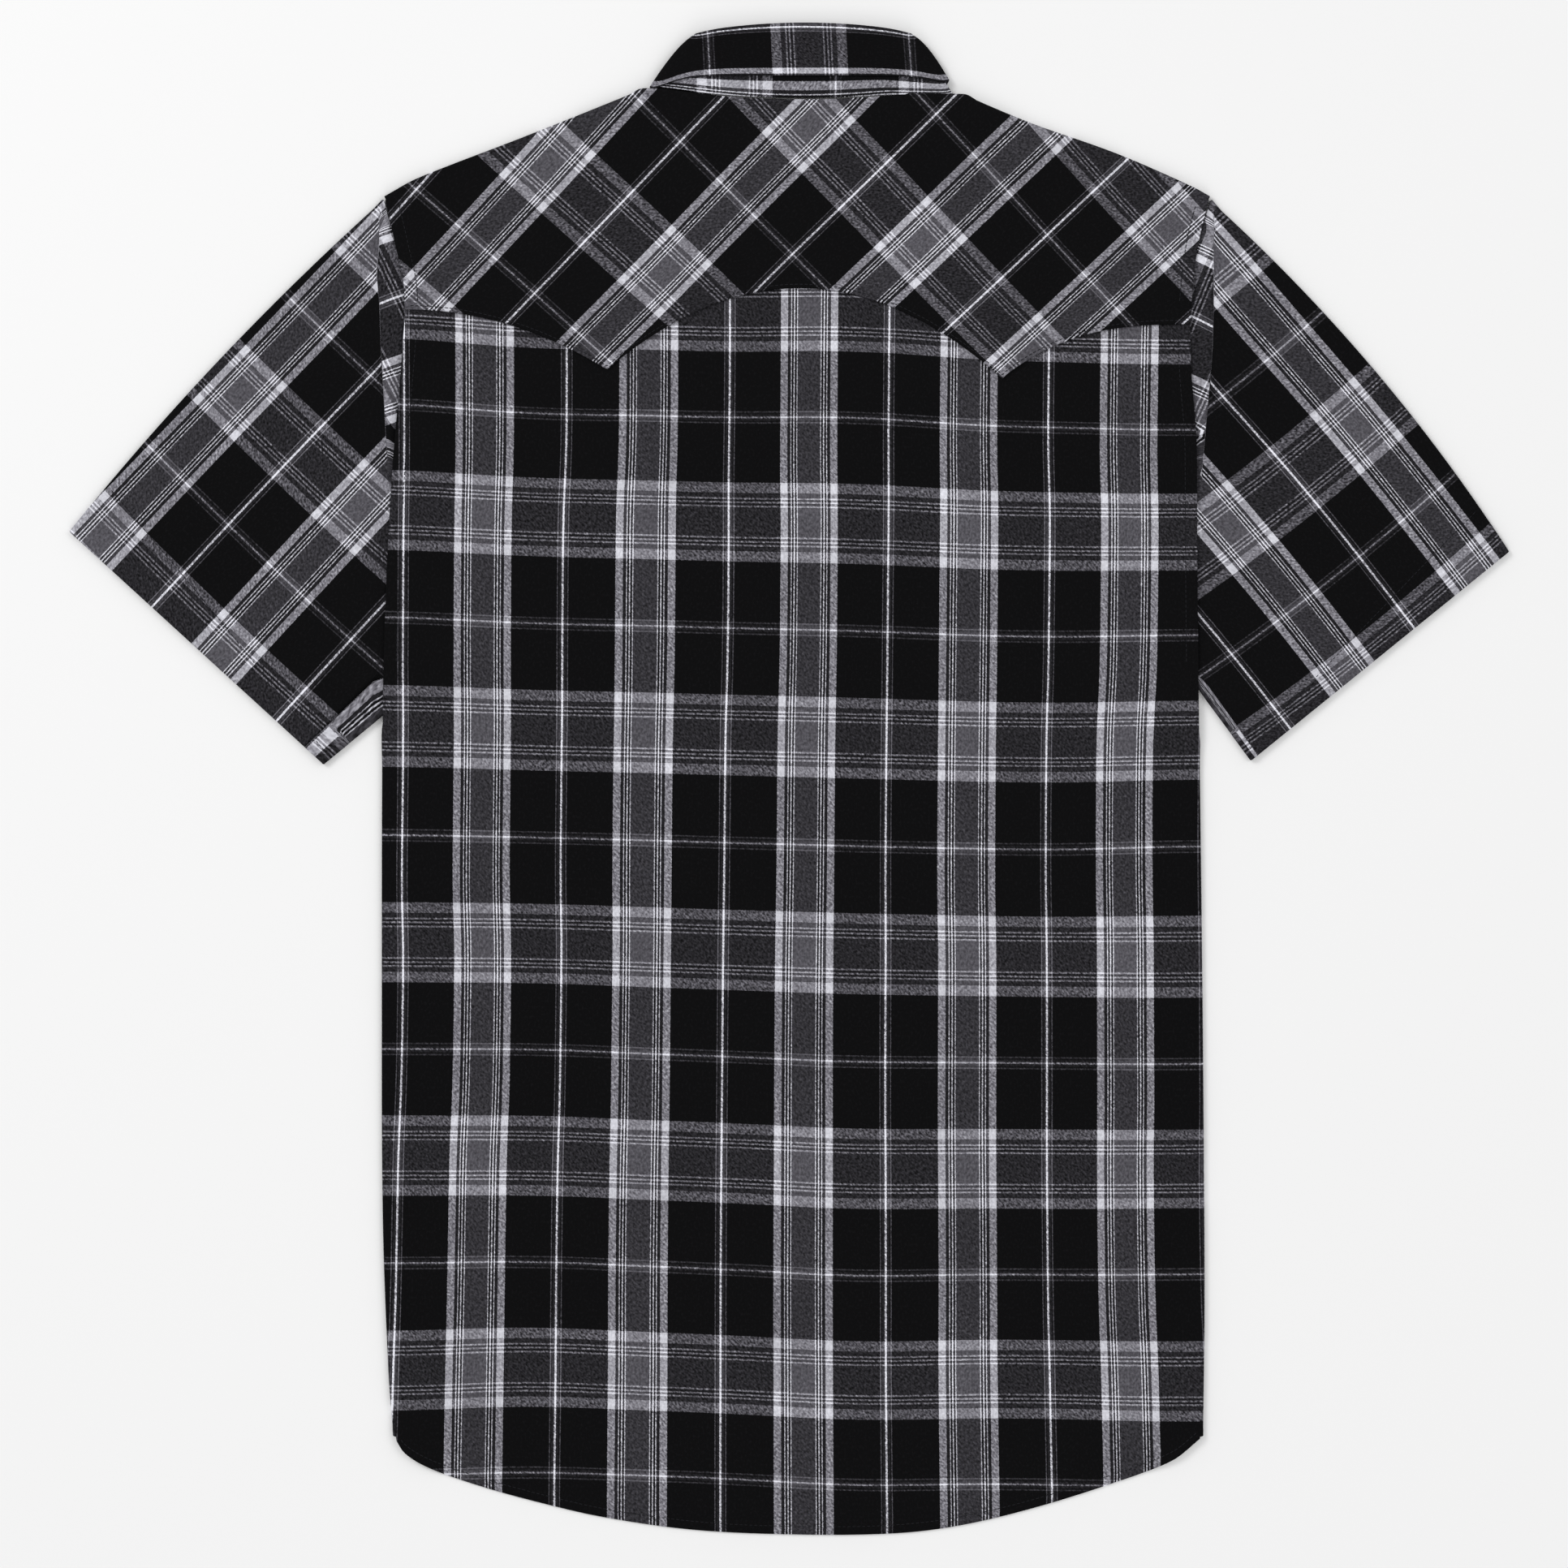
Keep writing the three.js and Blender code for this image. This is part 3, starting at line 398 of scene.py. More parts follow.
def ripple(s, pitch):
    """Uneven waves along a seam: three sines whose lengths have no common measure."""
    k = 2 * math.pi / pitch
    return (np.sin(k * s) + 0.7 * np.sin(0.618 * k * s + 1.3) + 0.5 * np.sin(1.73 * k * s + 2.1)) / 2.2


def yoke_edge(x):
    """Height of the yoke's lower edge: a parabola between the points and a power curve in each wing."""

    def wing(row, point):
        share = np.clip((x - row["x"]) / (point[0] - row["x"]), 0, 1)
        return lerp(row["y"], point[1], share ** row["power"])

    arch = ARCH["y"] - ARCH["fall"] * (x - ARCH["x"]) ** 2
    wings = np.where(x < 0, wing(LEFT_WING, LEFT_POINT), wing(RIGHT_WING, RIGHT_POINT))
    return np.where((x < LEFT_POINT[0]) | (x > RIGHT_POINT[0]), wings, arch)


def lift(row, distance, y=None):
    """How far a panel rises over what lies under it, from one row of the lifts."""
    rise = row[0] * plateau(distance, row[1], row[2])
    return rise if y is None else rise * ease((y - row[3]) / row[4])


def front_height(x, y, inner):
    """Middle of a front: over the leaf and the placket, and the inner one over the other front."""
    lap = PLY * plateau(x - CENTRE, *FRONT_OVER_PLACKET[1:]) if inner else 0
    risen = np.maximum(lift(FRONT_OVER_PLACKET, x - CENTRE), lift(FRONT_OVER_LEAF, x - NECK["x"], y))
    return FRONT_HEIGHT + risen + lap


def back_height(x, y):
    """Middle of the back: over the fronts, the placket, the neck and the sleeves' seams, with its folds."""
    folds = np.zeros(np.broadcast(x, y).shape)
    for at, top, bottom, lean, half, rise in BACK_FOLDS:
        down = (top - y) / (top - bottom)
        folds += rise * ease(down * 5) * ease((1 - down) * 5) * plateau(x - at - lean * down, 0, half)
    risen = np.maximum(lift(BACK_OVER_PLACKET, x - CENTRE), lift(BACK_OVER_COLLAR, x - NECK["x"], y))
    hole = np.hypot((x - NECK["x"]) / NECK_HOLE["half"], (y - NECK["y"]) / NECK_HOLE["deep"])
    sunk = NECK_HOLE["sink"] * ease((1 - hole) / NECK_HOLE["ramp"])
    inboard = np.minimum(x - side_edge("left", y), side_edge("right", y) - x)
    fine = CREASE_DEPTH * creases(BACK_CREASES, x, y) * ease((inboard - 1) / 12)
    full = BACK_HEIGHT + risen - sunk + lift(BACK_OVER_SLEEVE, inboard, y) + folds + fine
    at_hem = ease((TAIL_DROP["reach"] - (y - hem_at(x))) / TAIL_DROP["reach"])
    return lerp(full, TAIL_HEIGHT, at_hem * ease((inboard - TAIL_DROP["inboard"]) / TAIL_DROP["ramp"]))


def yoke_height(x, y):
    """The back's height, with the lap along the yoke's lower edge and the yoke's own creases."""
    above = y - yoke_edge(x)
    lapped = YOKE_STEP["height"] * ease((YOKE_STEP["reach"] - above) / YOKE_STEP["ramp"])
    near = ease((PUCKER["reach"] - above) / PUCKER["ramp"])
    pucker = PUCKER["height"] * ripple(x + y, PUCKER["pitch"]) * near
    return back_height(x, y) + lapped + creases(YOKE_CREASES, x, y) + pucker


def patch(bottom, top, left, right, across, up):
    """Coons patch: both ruled surfaces between the edges, less the flat one between the corners."""
    s, t = across[None, :, None], up[:, None, None]
    low_edge, high_edge = bottom(across)[None], top(across)[None]
    start, end = left(up)[:, None], right(up)[:, None]
    ruled = lerp(low_edge, high_edge, t) + lerp(start, end, s)
    low_chord = lerp(low_edge[:, :1], low_edge[:, -1:], s)
    high_chord = lerp(high_edge[:, :1], high_edge[:, -1:], s)
    return ruled - lerp(low_chord, high_chord, t)


def plan(x, y):
    """Points in the plan."""
    return np.stack(np.broadcast_arrays(x, y), axis=-1).astype(float)


def raised(points, z):
    """Points of the plan at their heights."""
    return np.concatenate([points, np.broadcast_to(z, points.shape[:-1])[..., None]], axis=-1)


def shares(count, fine=0.012, extra=4):
    """Even steps from 0 to 1, with a few short ones at each end for the turned edge."""
    ends = np.linspace(0, fine, extra + 1)[:-1]
    return np.concatenate([ends, np.linspace(fine, 1 - fine, count), 1 - ends[::-1]])


def across_points(share, left_y, right_y):
    """x on the way from side to side, with the yoke's two points a quarter of the way in."""
    left, right = side_edge("left", left_y), side_edge("right", right_y)
    return np.interp(share, QUARTERS, (left, LEFT_POINT[0], RIGHT_POINT[0], right))


def along_side(name, low_y, high_y):
    """A patch's left or right edge: the body's side between two heights."""

    def edge(share):
        y = lerp(low_y, high_y, share)
        return plan(side_edge(name, y), y)

    return edge


def turned_edge(start, outward, drop, share, lip, arc=7, flat=4):
    """An edge that rolls over and turns under: a half circle as deep as the drop, then a flat lip."""
    angle = math.pi * np.linspace(0, 1, arc + 1)[1:, None, None] * share[None, :, None]
    radius = drop[None, :, None] / 2
    rolled = start + outward * radius * np.sin(angle) + np.array((0, 0, 1)) * radius * (np.cos(angle) - 1)
    reach = np.linspace(0, 1, flat + 1)[1:, None, None]
    return np.concatenate([rolled, rolled[-1] - outward * (lip * share)[None, :, None] * reach])


def softened(grid, passes):
    """Averages each inner row with its two neighbours, which rounds the bends between rows."""
    for _ in range(passes):
        grid = np.concatenate([grid[:1], (grid[:-2] + 2 * grid[1:-1] + grid[2:]) / 4, grid[-1:]])
    return grid


def finer(control, steps):
    """Straight steps between control rows, so many in each span."""
    at = np.concatenate([i + np.arange(n) / n for i, n in enumerate(steps)] + [[len(steps)]])
    i = np.minimum(at.astype(int), len(steps) - 1)
    return lerp(control[i], control[i + 1], (at - i).reshape((-1,) + (1,) * (control.ndim - 1)))


def index_map(samples, degree, reach=34.0, span=200, calm=0.2):
    """The number of a stripe at x, y: a least-squares polynomial through the samples, plus each sample's
    leftover faded out by a bell of the given reach, so that the stripes bend where the cloth does. The span
    keeps the powers near 1, and calm fades the leftovers where no sample is near."""
    samples = np.array(samples, float)
    powers = [(i, j) for i in range(degree + 1) for j in range(degree + 1 - i)]

    def terms(x, y):
        return np.stack([(x / span) ** i * (y / span) ** j for i, j in powers], axis=-1)

    sx, sy, value = samples.T
    factors = np.linalg.lstsq(terms(sx, sy), value, rcond=None)[0]
    left_over = value - terms(sx, sy) @ factors

    def index(x, y):
        away = (x[..., None] - sx) ** 2 + (y[..., None] - sy) ** 2
        weight = np.exp(-away / (2 * reach * reach))
        return terms(x, y) @ factors + (weight @ left_over) / (weight.sum(-1) + calm)

    return index


def body_map():
    """Stripe numbers on the back and fronts, from the two tables."""
    warp = [(x, row[0], k - 5) for row in BACK_WARP for k, x in enumerate(row[1:])]
    weft = [(row[0], y, k - 2) for row in BACK_WEFT for k, y in enumerate(row[1:])]
    return index_map(warp, 3, 30), index_map(weft, 3, 34)


def crossing_map(rows):
    """Stripe numbers on a panel cut at a slant, from its crossings."""
    return index_map([(x, y, p) for p, q, x, y in rows], 2), index_map([(x, y, q) for p, q, x, y in rows], 2)


def unit(vectors):
    """The vectors at length 1."""
    return vectors / np.maximum(np.linalg.norm(vectors, axis=-1, keepdims=True), 1e-9)


def normals_of(grid, closed=False):
    """Unit normals of a grid of points: the step across it times the step along it."""
    if closed:
        across = np.roll(grid, -1, axis=1) - np.roll(grid, 1, axis=1)
    else:
        across = np.gradient(grid, axis=1)
    return unit(np.cross(across, np.gradient(grid, axis=0)))


def make_mesh(name, points, faces, uv=None):
    """Puts arrays of points (mm), faces and one map point for each point into a new object."""
    mesh = bpy.data.meshes.new(name)
    mesh.vertices.add(len(points))
    mesh.vertices.foreach_set("co", ((points + SHIFT) * MM).astype(np.float32).ravel())
    corners = faces.shape[1]
    mesh.loops.add(faces.size)
    mesh.loops.foreach_set("vertex_index", faces.astype(np.int32).ravel())
    mesh.polygons.add(len(faces))
    mesh.polygons.foreach_set("loop_start", np.arange(0, faces.size, corners, dtype=np.int32))
    mesh.polygons.foreach_set("use_smooth", np.ones(len(faces), bool))
    mesh.update(calc_edges=True)
    if uv is not None:
        layer = mesh.uv_layers.new(name="cloth")
        layer.data.foreach_set("uv", uv[faces.ravel()].astype(np.float32).ravel())
    if mesh.validate():
        raise RuntimeError(f"{name}: the mesh had faults")
    piece = bpy.data.objects.new(name, mesh)
    bpy.context.scene.collection.objects.link(piece)
    return piece


def cloth_shell(name, middle, uv, thickness, closed=False, crest=0.7):
    """A closed wall round a grid of middle points: half the thickness each way along the normals, and a
    rounded rim that stands outside the grid's edge by the crest's share of half the thickness."""
    rows, columns = middle.shape[:2]
    base = rows * columns
    offset = normals_of(middle, closed) * (np.broadcast_to(thickness, (rows, columns)) / 2)[..., None]
    number = np.arange(base).reshape(rows, columns)
    inward = np.zeros_like(middle)
    inward[0] += middle[1] - middle[0]
    inward[-1] += middle[-2] - middle[-1]
    if closed:
        wide = np.concatenate([number, number[:, :1]], axis=1)
        loops = [number[0], number[-1, ::-1]]
    else:
        wide = number
        loops = [np.concatenate([number[0, :-1], number[:-1, -1], number[-1, :0:-1], number[:0:-1, 0]])]
        inward[1:-1, 0] += (middle[:, 1] - middle[:, 0])[1:-1]
        inward[1:-1, -1] += (middle[:, -2] - middle[:, -1])[1:-1]
    top = np.stack([wide[:-1, :-1], wide[:-1, 1:], wide[1:, 1:], wide[1:, :-1]], axis=-1).reshape(-1, 4)
    flat_uv = uv.reshape(-1, 2)
    faces, maps = [top, top[:, ::-1] + base], [flat_uv, flat_uv]
    points = [(middle + offset).reshape(-1, 3), (middle - offset).reshape(-1, 3)]
    rim_points = middle - unit(inward) * np.linalg.norm(offset, axis=-1)[..., None] * crest
    start = 2 * base
    for loop in loops:
        points.append(rim_points.reshape(-1, 3)[loop])
        maps.append(flat_uv[loop])
        rim = start + np.arange(len(loop))
        start += len(loop)
        nxt, rim_next = np.roll(loop, -1), np.roll(rim, -1)
        faces.append(np.stack([nxt, loop, rim, rim_next], axis=-1))
        faces.append(np.stack([rim_next, rim, loop + base, nxt + base], axis=-1))
    return make_mesh(name, np.concatenate(points), np.concatenate(faces), np.concatenate(maps))


def map_of(grid, maps):
    """Map points of a grid from the plan place of its points."""
    return np.stack([index(grid[..., 0], grid[..., 1]) for index in maps], axis=-1)


def back_grid():
    """The back: a patch from the hem to the lap line, with both sides rolled under."""
    tops = LEFT_WING["y"] + YOKE_LAP, RIGHT_WING["y"] + YOKE_LAP

    def bottom(share):
        x = np.interp(share, QUARTERS, (LEFT_SIDE[0, 1], *HEM_QUARTERS, RIGHT_SIDE[0, 1]))
        return plan(x, hem_at(x))

    def top(share):
        x = across_points(share, *tops)
        return plan(x, yoke_edge(x) + YOKE_LAP)

    left, right = along_side("left", TAIL_SIDE, tops[0]), along_side("right", TAIL_SIDE, tops[1])
    flat = patch(bottom, top, left, right, shares(142, 0.02, 6), shares(176, 0.02, 8))
    grid = raised(flat, back_height(flat[..., 0], flat[..., 1]))

    # The share of a half circle that each side turns, and the room its roll takes inside the side line
    part = np.maximum(ease((LIP_END[1] - flat[:, 0, 1]) / (LIP_END[1] - LIP_END[0])), 0.05)
    inset = (BACK_HEIGHT - FRONT_HEIGHT) / 2 * np.sin(math.pi * np.minimum(part, 0.5))
    grid[:, 0, 0] += inset
    grid[:, -1, 0] -= inset
    grid[:, 1:6, 0] = np.maximum(grid[:, 1:6, 0], grid[:, :1, 0] + np.linspace(0.1, 0.5, 5))
    grid[:, -6:-1, 0] = np.minimum(grid[:, -6:-1, 0], grid[:, -1:, 0] - np.linspace(0.5, 0.1, 5))
    turned = []
    for column, side in ((0, -1), (-1, 1)):
        start = grid[:, column]
        outward = np.tile((float(side), 0.0, 0.0), (len(start), 1))
        turned.append(turned_edge(start, outward, start[:, 2] - FRONT_HEIGHT, part, SIDE_LIP).swapaxes(0, 1))
    return np.concatenate([turned[0][:, ::-1], grid, turned[1]], axis=1)


def neck_seam(x):
    """The collar seam behind the neck: a shallow parabola."""
    q = np.clip((x - NECK["x"] + NECK["half"]) / (2 * NECK["half"]), 0, 1)
    return NECK["y"] - NECK["dip"] * 4 * q * (1 - q)


def yoke_top(share):
    """Top edge of the yoke: up the left shoulder, behind the neck and down the right shoulder."""
    turns = (NECK_LEFT - NECK_TURN, NECK_LEFT, NECK_RIGHT, NECK_RIGHT + NECK_TURN)
    x = np.interp(share, (0, *NECK_SHARES, 1), (LEFT_SHOULDER[0, 0], *turns, RIGHT_SHOULDER[-1, 0]))
    across = (x - NECK_LEFT) / (NECK_RIGHT - NECK_LEFT)
    ends = lerp(shoulder_at("left", NECK_LEFT), shoulder_at("right", NECK_RIGHT), across)
    y = np.where(x >= NECK_RIGHT, shoulder_at("right", x), np.minimum(ends, neck_seam(x) - NECK_GAP))
    return plan(x, np.where(x <= NECK_LEFT, shoulder_at("left", x), y))


def yoke_grid():
    """The yoke: a patch from its pointed edge to the shoulders, which roll under to the front seams."""

    def bottom(share):
        x = across_points(share, LEFT_WING["y"], RIGHT_WING["y"])
        return plan(x, yoke_edge(x))

    left = along_side("left", LEFT_WING["y"], SHOULDER_FOLD)
    right = along_side("right", RIGHT_WING["y"], SHOULDER_FOLD)
    across = np.linspace(0, 1, YOKE_SPANS * 6 + 1)
    flat = patch(bottom, yoke_top, left, right, across, shares(52, 0.03, 6))
    grid = raised(flat, yoke_height(flat[..., 0], flat[..., 1]))

    # The neck edge turns only a little, the shoulders all the way
    top = grid[-1]
    place = np.arange(len(top))
    run = top[np.minimum(place + 4, len(top) - 1)] - top[np.maximum(place - 4, 0)]
    outward = unit(np.stack([-run[:, 1], run[:, 0], np.zeros(len(top))], axis=-1))
    share = lerp(1, 0.12, np.interp(across, NECK_SHARES, (0, 1, 1, 0)))
    drop = top[:, 2] - front_height(top[:, 0], top[:, 1], False)
    inset = outward * (drop / 2 * share)[:, None]
    grid[-7:] -= inset[None] * np.linspace(0.1, 1, 7)[:, None, None]
    return np.concatenate([grid, turned_edge(grid[-1], outward, drop, share, SHOULDER_LIP)])


def armhole_tuck(y):
    """How far a sleeve's seam lies in under the body's edge."""
    low, start, ramp = TUCK["low"]
    tuck = lerp(TUCK["yoke"], low, ease((start - y) / ramp))
    high, start, ramp = TUCK["shoulder"]
    return lerp(tuck, high, ease((y - start) / ramp))


def front_top(name, share):
    """Top edge of a front: along the shoulder seam, then down round the neckline."""
    side = -1 if name == "left" else 1
    drop = SHOULDER_LIP + 4
    across, down = NECK["half"] + NECK_GAP, NECK["y"] - NECK_FRONT + NECK_GAP
    first = math.acos(drop / down)
    neck_end = NECK["x"] + side * across * math.sin(first)
    x = lerp(side_edge(name, FRONT_ARM["y"]) - side * FRONT_ARM["in"], neck_end, np.minimum(share * 2, 1))
    last = -math.asin((PLACKET_HALF + (CENTRE - NECK["x"]) * -side) / across)
    angle = lerp(first, last, np.clip(share * 2 - 1, 0, 1))
    shoulder = plan(x, shoulder_at(name, x) - drop)
    neckline = plan(NECK["x"] + side * across * np.sin(angle), NECK["y"] - down * np.cos(angle))
    return np.where((share <= 0.5)[:, None], shoulder, neckline)


def front_grid(name):
    """A front: side seam and armhole on one side, the centre edge on the other."""
    side = -1 if name == "left" else 1
    low_y = TAIL_SIDE + FRONT_HEM_RISE + 2
    high_y = front_top(name, np.array([0.0]))[0, 1]
    centre = CENTRE - side * PLACKET_HALF
    start, end = np.zeros(1), np.ones(1)

    def outer(t):
        y = lerp(low_y, high_y, t)
        armhole = np.maximum(FRONT_SIDE["tuck"], armhole_tuck(y)) + FRONT_SIDE["armhole"]
        above_lip = ease((y - FRONT_SIDE["from"]) / FRONT_SIDE["ramp"])
        inset = lerp(SIDE_LIP + FRONT_SIDE["lip"], armhole, above_lip)
        return plan(side_edge(name, y) - side * (inset + SEAM_GAP), y)

    def bottom(s):
        x = lerp(outer(start)[0, 0], centre, s)
        return plan(x, lerp(low_y, hem_at(x) + FRONT_HEM_RISE, ease(s * 12)))

    def inner(t):
        return plan(np.full(len(t), centre), lerp(bottom(end)[0, 1], front_top(name, end)[0, 1], t))

    def top(s):
        points = front_top(name, s)
        points[0], points[-1] = outer(end)[0], inner(end)[0]
        return points

    flat = patch(bottom, top, outer, inner, shares(60, 0.02, 3), shares(120, 0.015, 4))
    return raised(flat, front_height(flat[..., 0], flat[..., 1], side > 0))


def placket_grid():
    """The placket: a band that is pressed up round each snap, so the caps lie in it."""
    low_y, high_y = hem_at(float(CENTRE)) + FRONT_HEM_RISE + 0.5, NECK_FRONT - 1.5
    x = CENTRE + lerp(-PLACKET_HALF, PLACKET_HALF, shares(26, 0.04, 3))[None, :]
    y = lerp(low_y, high_y, shares(420, 0.003, 3))[:, None]
    snaps = FIRST_SNAP - SNAP_PITCH * np.arange(SNAP_COUNT)
    away = np.hypot(x[..., None] - CENTRE, y[..., None] - snaps).min(-1)
    return raised(plan(x, y), PLACKET_HEIGHT + SNAP_LIFT * ease((SNAP_ROOM + SNAP_RAMP - away) / SNAP_RAMP))


def sleeve_grid(name):
    """A flattened sleeve: rings from the armhole, over the pleat and out to the hem. Each ring runs over
    the upper layer, round the underarm fold, back along the lower layer and round the top fold. Returns the
    rings, the upper layer, and for its columns the share of the way down the armhole and the pleat's
    fullness."""
    shape, rolled = SLEEVES[name], ROLLED[name]
    side = shape["side"]
    corners = ("tip", "under_tip", "underarm")
    tip, under_tip, underarm = (np.array(shape[key] + (0,), float) for key in corners)
    shoulder = np.array((side_edge(name, SHOULDER_FOLD), SHOULDER_FOLD, 0))
    top_run, under_run = unit(tip - shoulder), unit(under_tip - underarm)
    top_out = np.array((-top_run[1] * side, top_run[0] * side, 0))
    under_out = np.array((under_run[1] * side, -under_run[0] * side, 0))
    f = np.sort(np.append(shares(64, 0.02, 4), (rolled["from"] - 0.0012, rolled["from"])))

    # The pleat: how far each of its lines stands out from the body's edge, and its height
    slope_top = (shoulder[1] - tip[1]) / abs(shoulder[0] - tip[0])
    slope_under = abs(under_run[1] / under_run[0])
    low_y = underarm[1] - abs(side_edge(name, underarm[1] - 10) - underarm[0]) * slope_under
    y = lerp(shoulder[1] - 1.6, low_y + 1.6, f)
    fall = lerp(slope_top, slope_under, f) * np.abs(2 * f - 1) ** 6
    edge = side_edge(name, y)
    width = through(LEFT_PLEAT if name == "left" else RIGHT_PLEAT, y)
    full = ease((y - PLEAT_FADE["low"]) / (PLEAT_FADE["full"] - PLEAT_FADE["low"]))
    full = full * ease((PLEAT_FADE["high"] - y) / (PLEAT_FADE["high"] - PLEAT_FADE["top"]))
    seam, level = SLEEVE_SEAM_HEIGHT, 0 * y
    steps = (
        (-armhole_tuck(y), seam + level),
        (PLEAT_START + level, seam + level),
        (PLEAT_START + (width - PLEAT_START) * 0.3, lerp(seam, PLEAT_CREST, full * 0.85)),
        (width * 0.7, lerp(seam, PLEAT_CREST, full)),
        (width - 0.6, lerp(seam, PLEAT_CREST - 0.2, full)),
        (width - 0.1, lerp(seam, PLEAT_CREST - 1.5, full)),
        (width + 2.4, SLEEVE_HEIGHT + level),
    )
    pleat = np.stack([np.stack([edge + side * out, y - fall * out, z], axis=-1) for out, z in steps])

    # The rest of the upper layer, straight to the hem with a bow along its top edge
    end = lerp(tip, under_tip, lerp(0.012, 0.988, f)[:, None])
    v = np.linspace(0, 1, 61)[1:, None]
    run = lerp(pleat[-1:], end[None], v[..., None])
    run += top_out * (shape["bow"] * 4 * v * (1 - v) * (1 - f[None]) ** 2)[..., None]
    run[..., 2] = SLEEVE_HEIGHT + 0.5 * np.sin(math.pi * v) * np.sin(math.pi * f[None])
    upper = np.concatenate([softened(finer(pleat, (3,) * (len(steps) - 1)), 3), run])
    bend = softened(upper[PLEAT_ROWS - 1:PLEAT_ROWS + 5], 2)
    upper = np.concatenate([upper[:PLEAT_ROWS], bend[1:], upper[PLEAT_ROWS + 5:]])
    row = np.arange(len(upper))
    clear = ease((row - PLEAT_ROWS) / 8)[:, None] * np.sin(math.pi * np.clip(f, 0, 1)) ** 0.5
    lower = upper[:, ::-1].copy()
    lower[..., 2] = FRONT_HEIGHT
    upper[..., 2] += creases(SLEEVE_CREASES[name], upper[..., 0], upper[..., 1]) * clear
    uneven = 1 + rolled["uneven"] * ripple(row * 3.0, 17)[:, None]
    stands = rolled["rise"] * uneven * ease(row / (PLEAT_ROWS - 1))[:, None]
    upper[..., 2] += stands * (f >= rolled["from"])

    def roll(first, outward):
        half = (first[:, 2] - FRONT_HEIGHT) / 2
        angle = (math.pi * np.arange(1, FOLD_POINTS + 1) / (FOLD_POINTS + 1))[None, :, None]
        arc = first[:, None] + outward * ((SLEEVE_HEIGHT - FRONT_HEIGHT) / 2) * np.sin(angle)
        arc[..., 2] += half[:, None] * (np.cos(angle[..., 0]) - 1)
        return arc

    under_fold, top_fold = roll(upper[:, -1], under_out), roll(upper[:, 0], top_out)[:, ::-1]
    return np.concatenate([upper, under_fold, lower, top_fold], axis=1), upper, f, full


def to_hem(rings):
    """Length along the sleeve from each point to the hem's edge."""
    return distance_from(rings.swapaxes(0, 1)[:, ::-1], 0)[:, ::-1].T


def sleeve_map(name, rings, f, full, hem):
    """The sleeve's stripes, with their own course over the pleat and on the cloth rolled out underneath."""
    uv = map_of(rings, crossing_map(SLEEVE_CROSSINGS[name]))
    px, py = np.moveaxis(rings[:STRIPED_ROWS, :len(f), :2], -1, 0)
    number = [base + ((px - x) * by_x + (py - y) * by_y) / 100
              for base, (x, y, by_x, by_y) in zip((1, 0), PLEAT_STRIPES[name])]
    on_pleat = uv[:STRIPED_ROWS, :len(f)]
    on_pleat[:] = lerp(on_pleat, np.stack(number, axis=-1), full[None, :, None])

    # A dark band along the rolled cloth, which turns to run with the hem's own stripes at its end
    first, last = int(np.argmax(f >= ROLLED[name]["from"])), len(f) + FOLD_POINTS
    along = to_hem(rings)[:, first:last]
    across = np.append((1 - f[first:]) / (1 - f[first]), np.zeros(FOLD_POINTS))[None] + 0 * along
    in_hem = ease((hem + 1 - along) / 2)
    u = lerp(0.10 + 0.26 * across, 0.42 - 0.16 * across, in_hem)
    v = lerp(0.5 + along / 160, 0.38 - (hem - along) / WEFT_HALF, in_hem)
    uv[:, first:last] = np.stack([u, v], axis=-1)
    return uv


def collar_stations(end_share):
    """Round the collar, from one end at the centre front, behind the neck, to the other end. For each
    station: its kind (0 on a front, 1 on a roll, 2 behind the neck), its side (-1 left, 1 right) and the
    share q of the way along that part, upwards on the fronts and rolls and rightwards behind the neck."""
    front, roll = lerp(end_share, 1, np.linspace(0, 1, 31)), np.linspace(0, 1, 13)[1:-1]
    behind = np.linspace(0, 1, 73)
    counts = [len(part) for part in (front, roll, behind, roll, front)]
    kind = np.repeat((0, 1, 2, 1, 0), counts)
    side = np.repeat((-1, -1, 0, 1, 1), counts)
    return kind, side, np.concatenate([front, roll, behind, roll[::-1], front[::-1]])


def half_ellipse(stations, shape, front, behind_y):
    """A collar line: a quarter ellipse on each front and the given curve behind the neck."""
    kind, side, q = stations
    angle = np.where(kind == 1, math.pi / 2, q * math.pi / 2)
    end = np.where(side > 0, shape["ends"][1], shape["ends"][0])
    x = np.where(kind == 2, lerp(shape["x"] - shape["half"], shape["x"] + shape["half"], q),
                 shape["x"] + side * shape["half"] * np.sin(angle))
    return plan(x, np.where(kind == 2, behind_y(x, q), lerp(end, front, np.cos(angle))))


def fold_line(stations):
    """The fold, which droops a little towards the rolls at both sides of the neck."""
    kind, side, q = stations

    def behind(x, share):
        return FOLD["y"] + FOLD["crown"] * 4 * share * (1 - share)

    line = half_ellipse(stations, FOLD, FOLD["front"], behind)
    line[:, 1] -= FOLD["droop"] * np.where(kind == 1, 1, np.abs(np.where(kind == 2, 2 * q - 1, q))) ** 10
    return line


def neck_line(stations):
    """The stand's lower edge: the collar seam, pressed down to the shoulders at both ends."""

    def behind(x, share):
        return np.minimum(neck_seam(x), lerp(*NECK["ends"], share))

    return half_ellipse(stations, NECK, NECK_FRONT, behind)


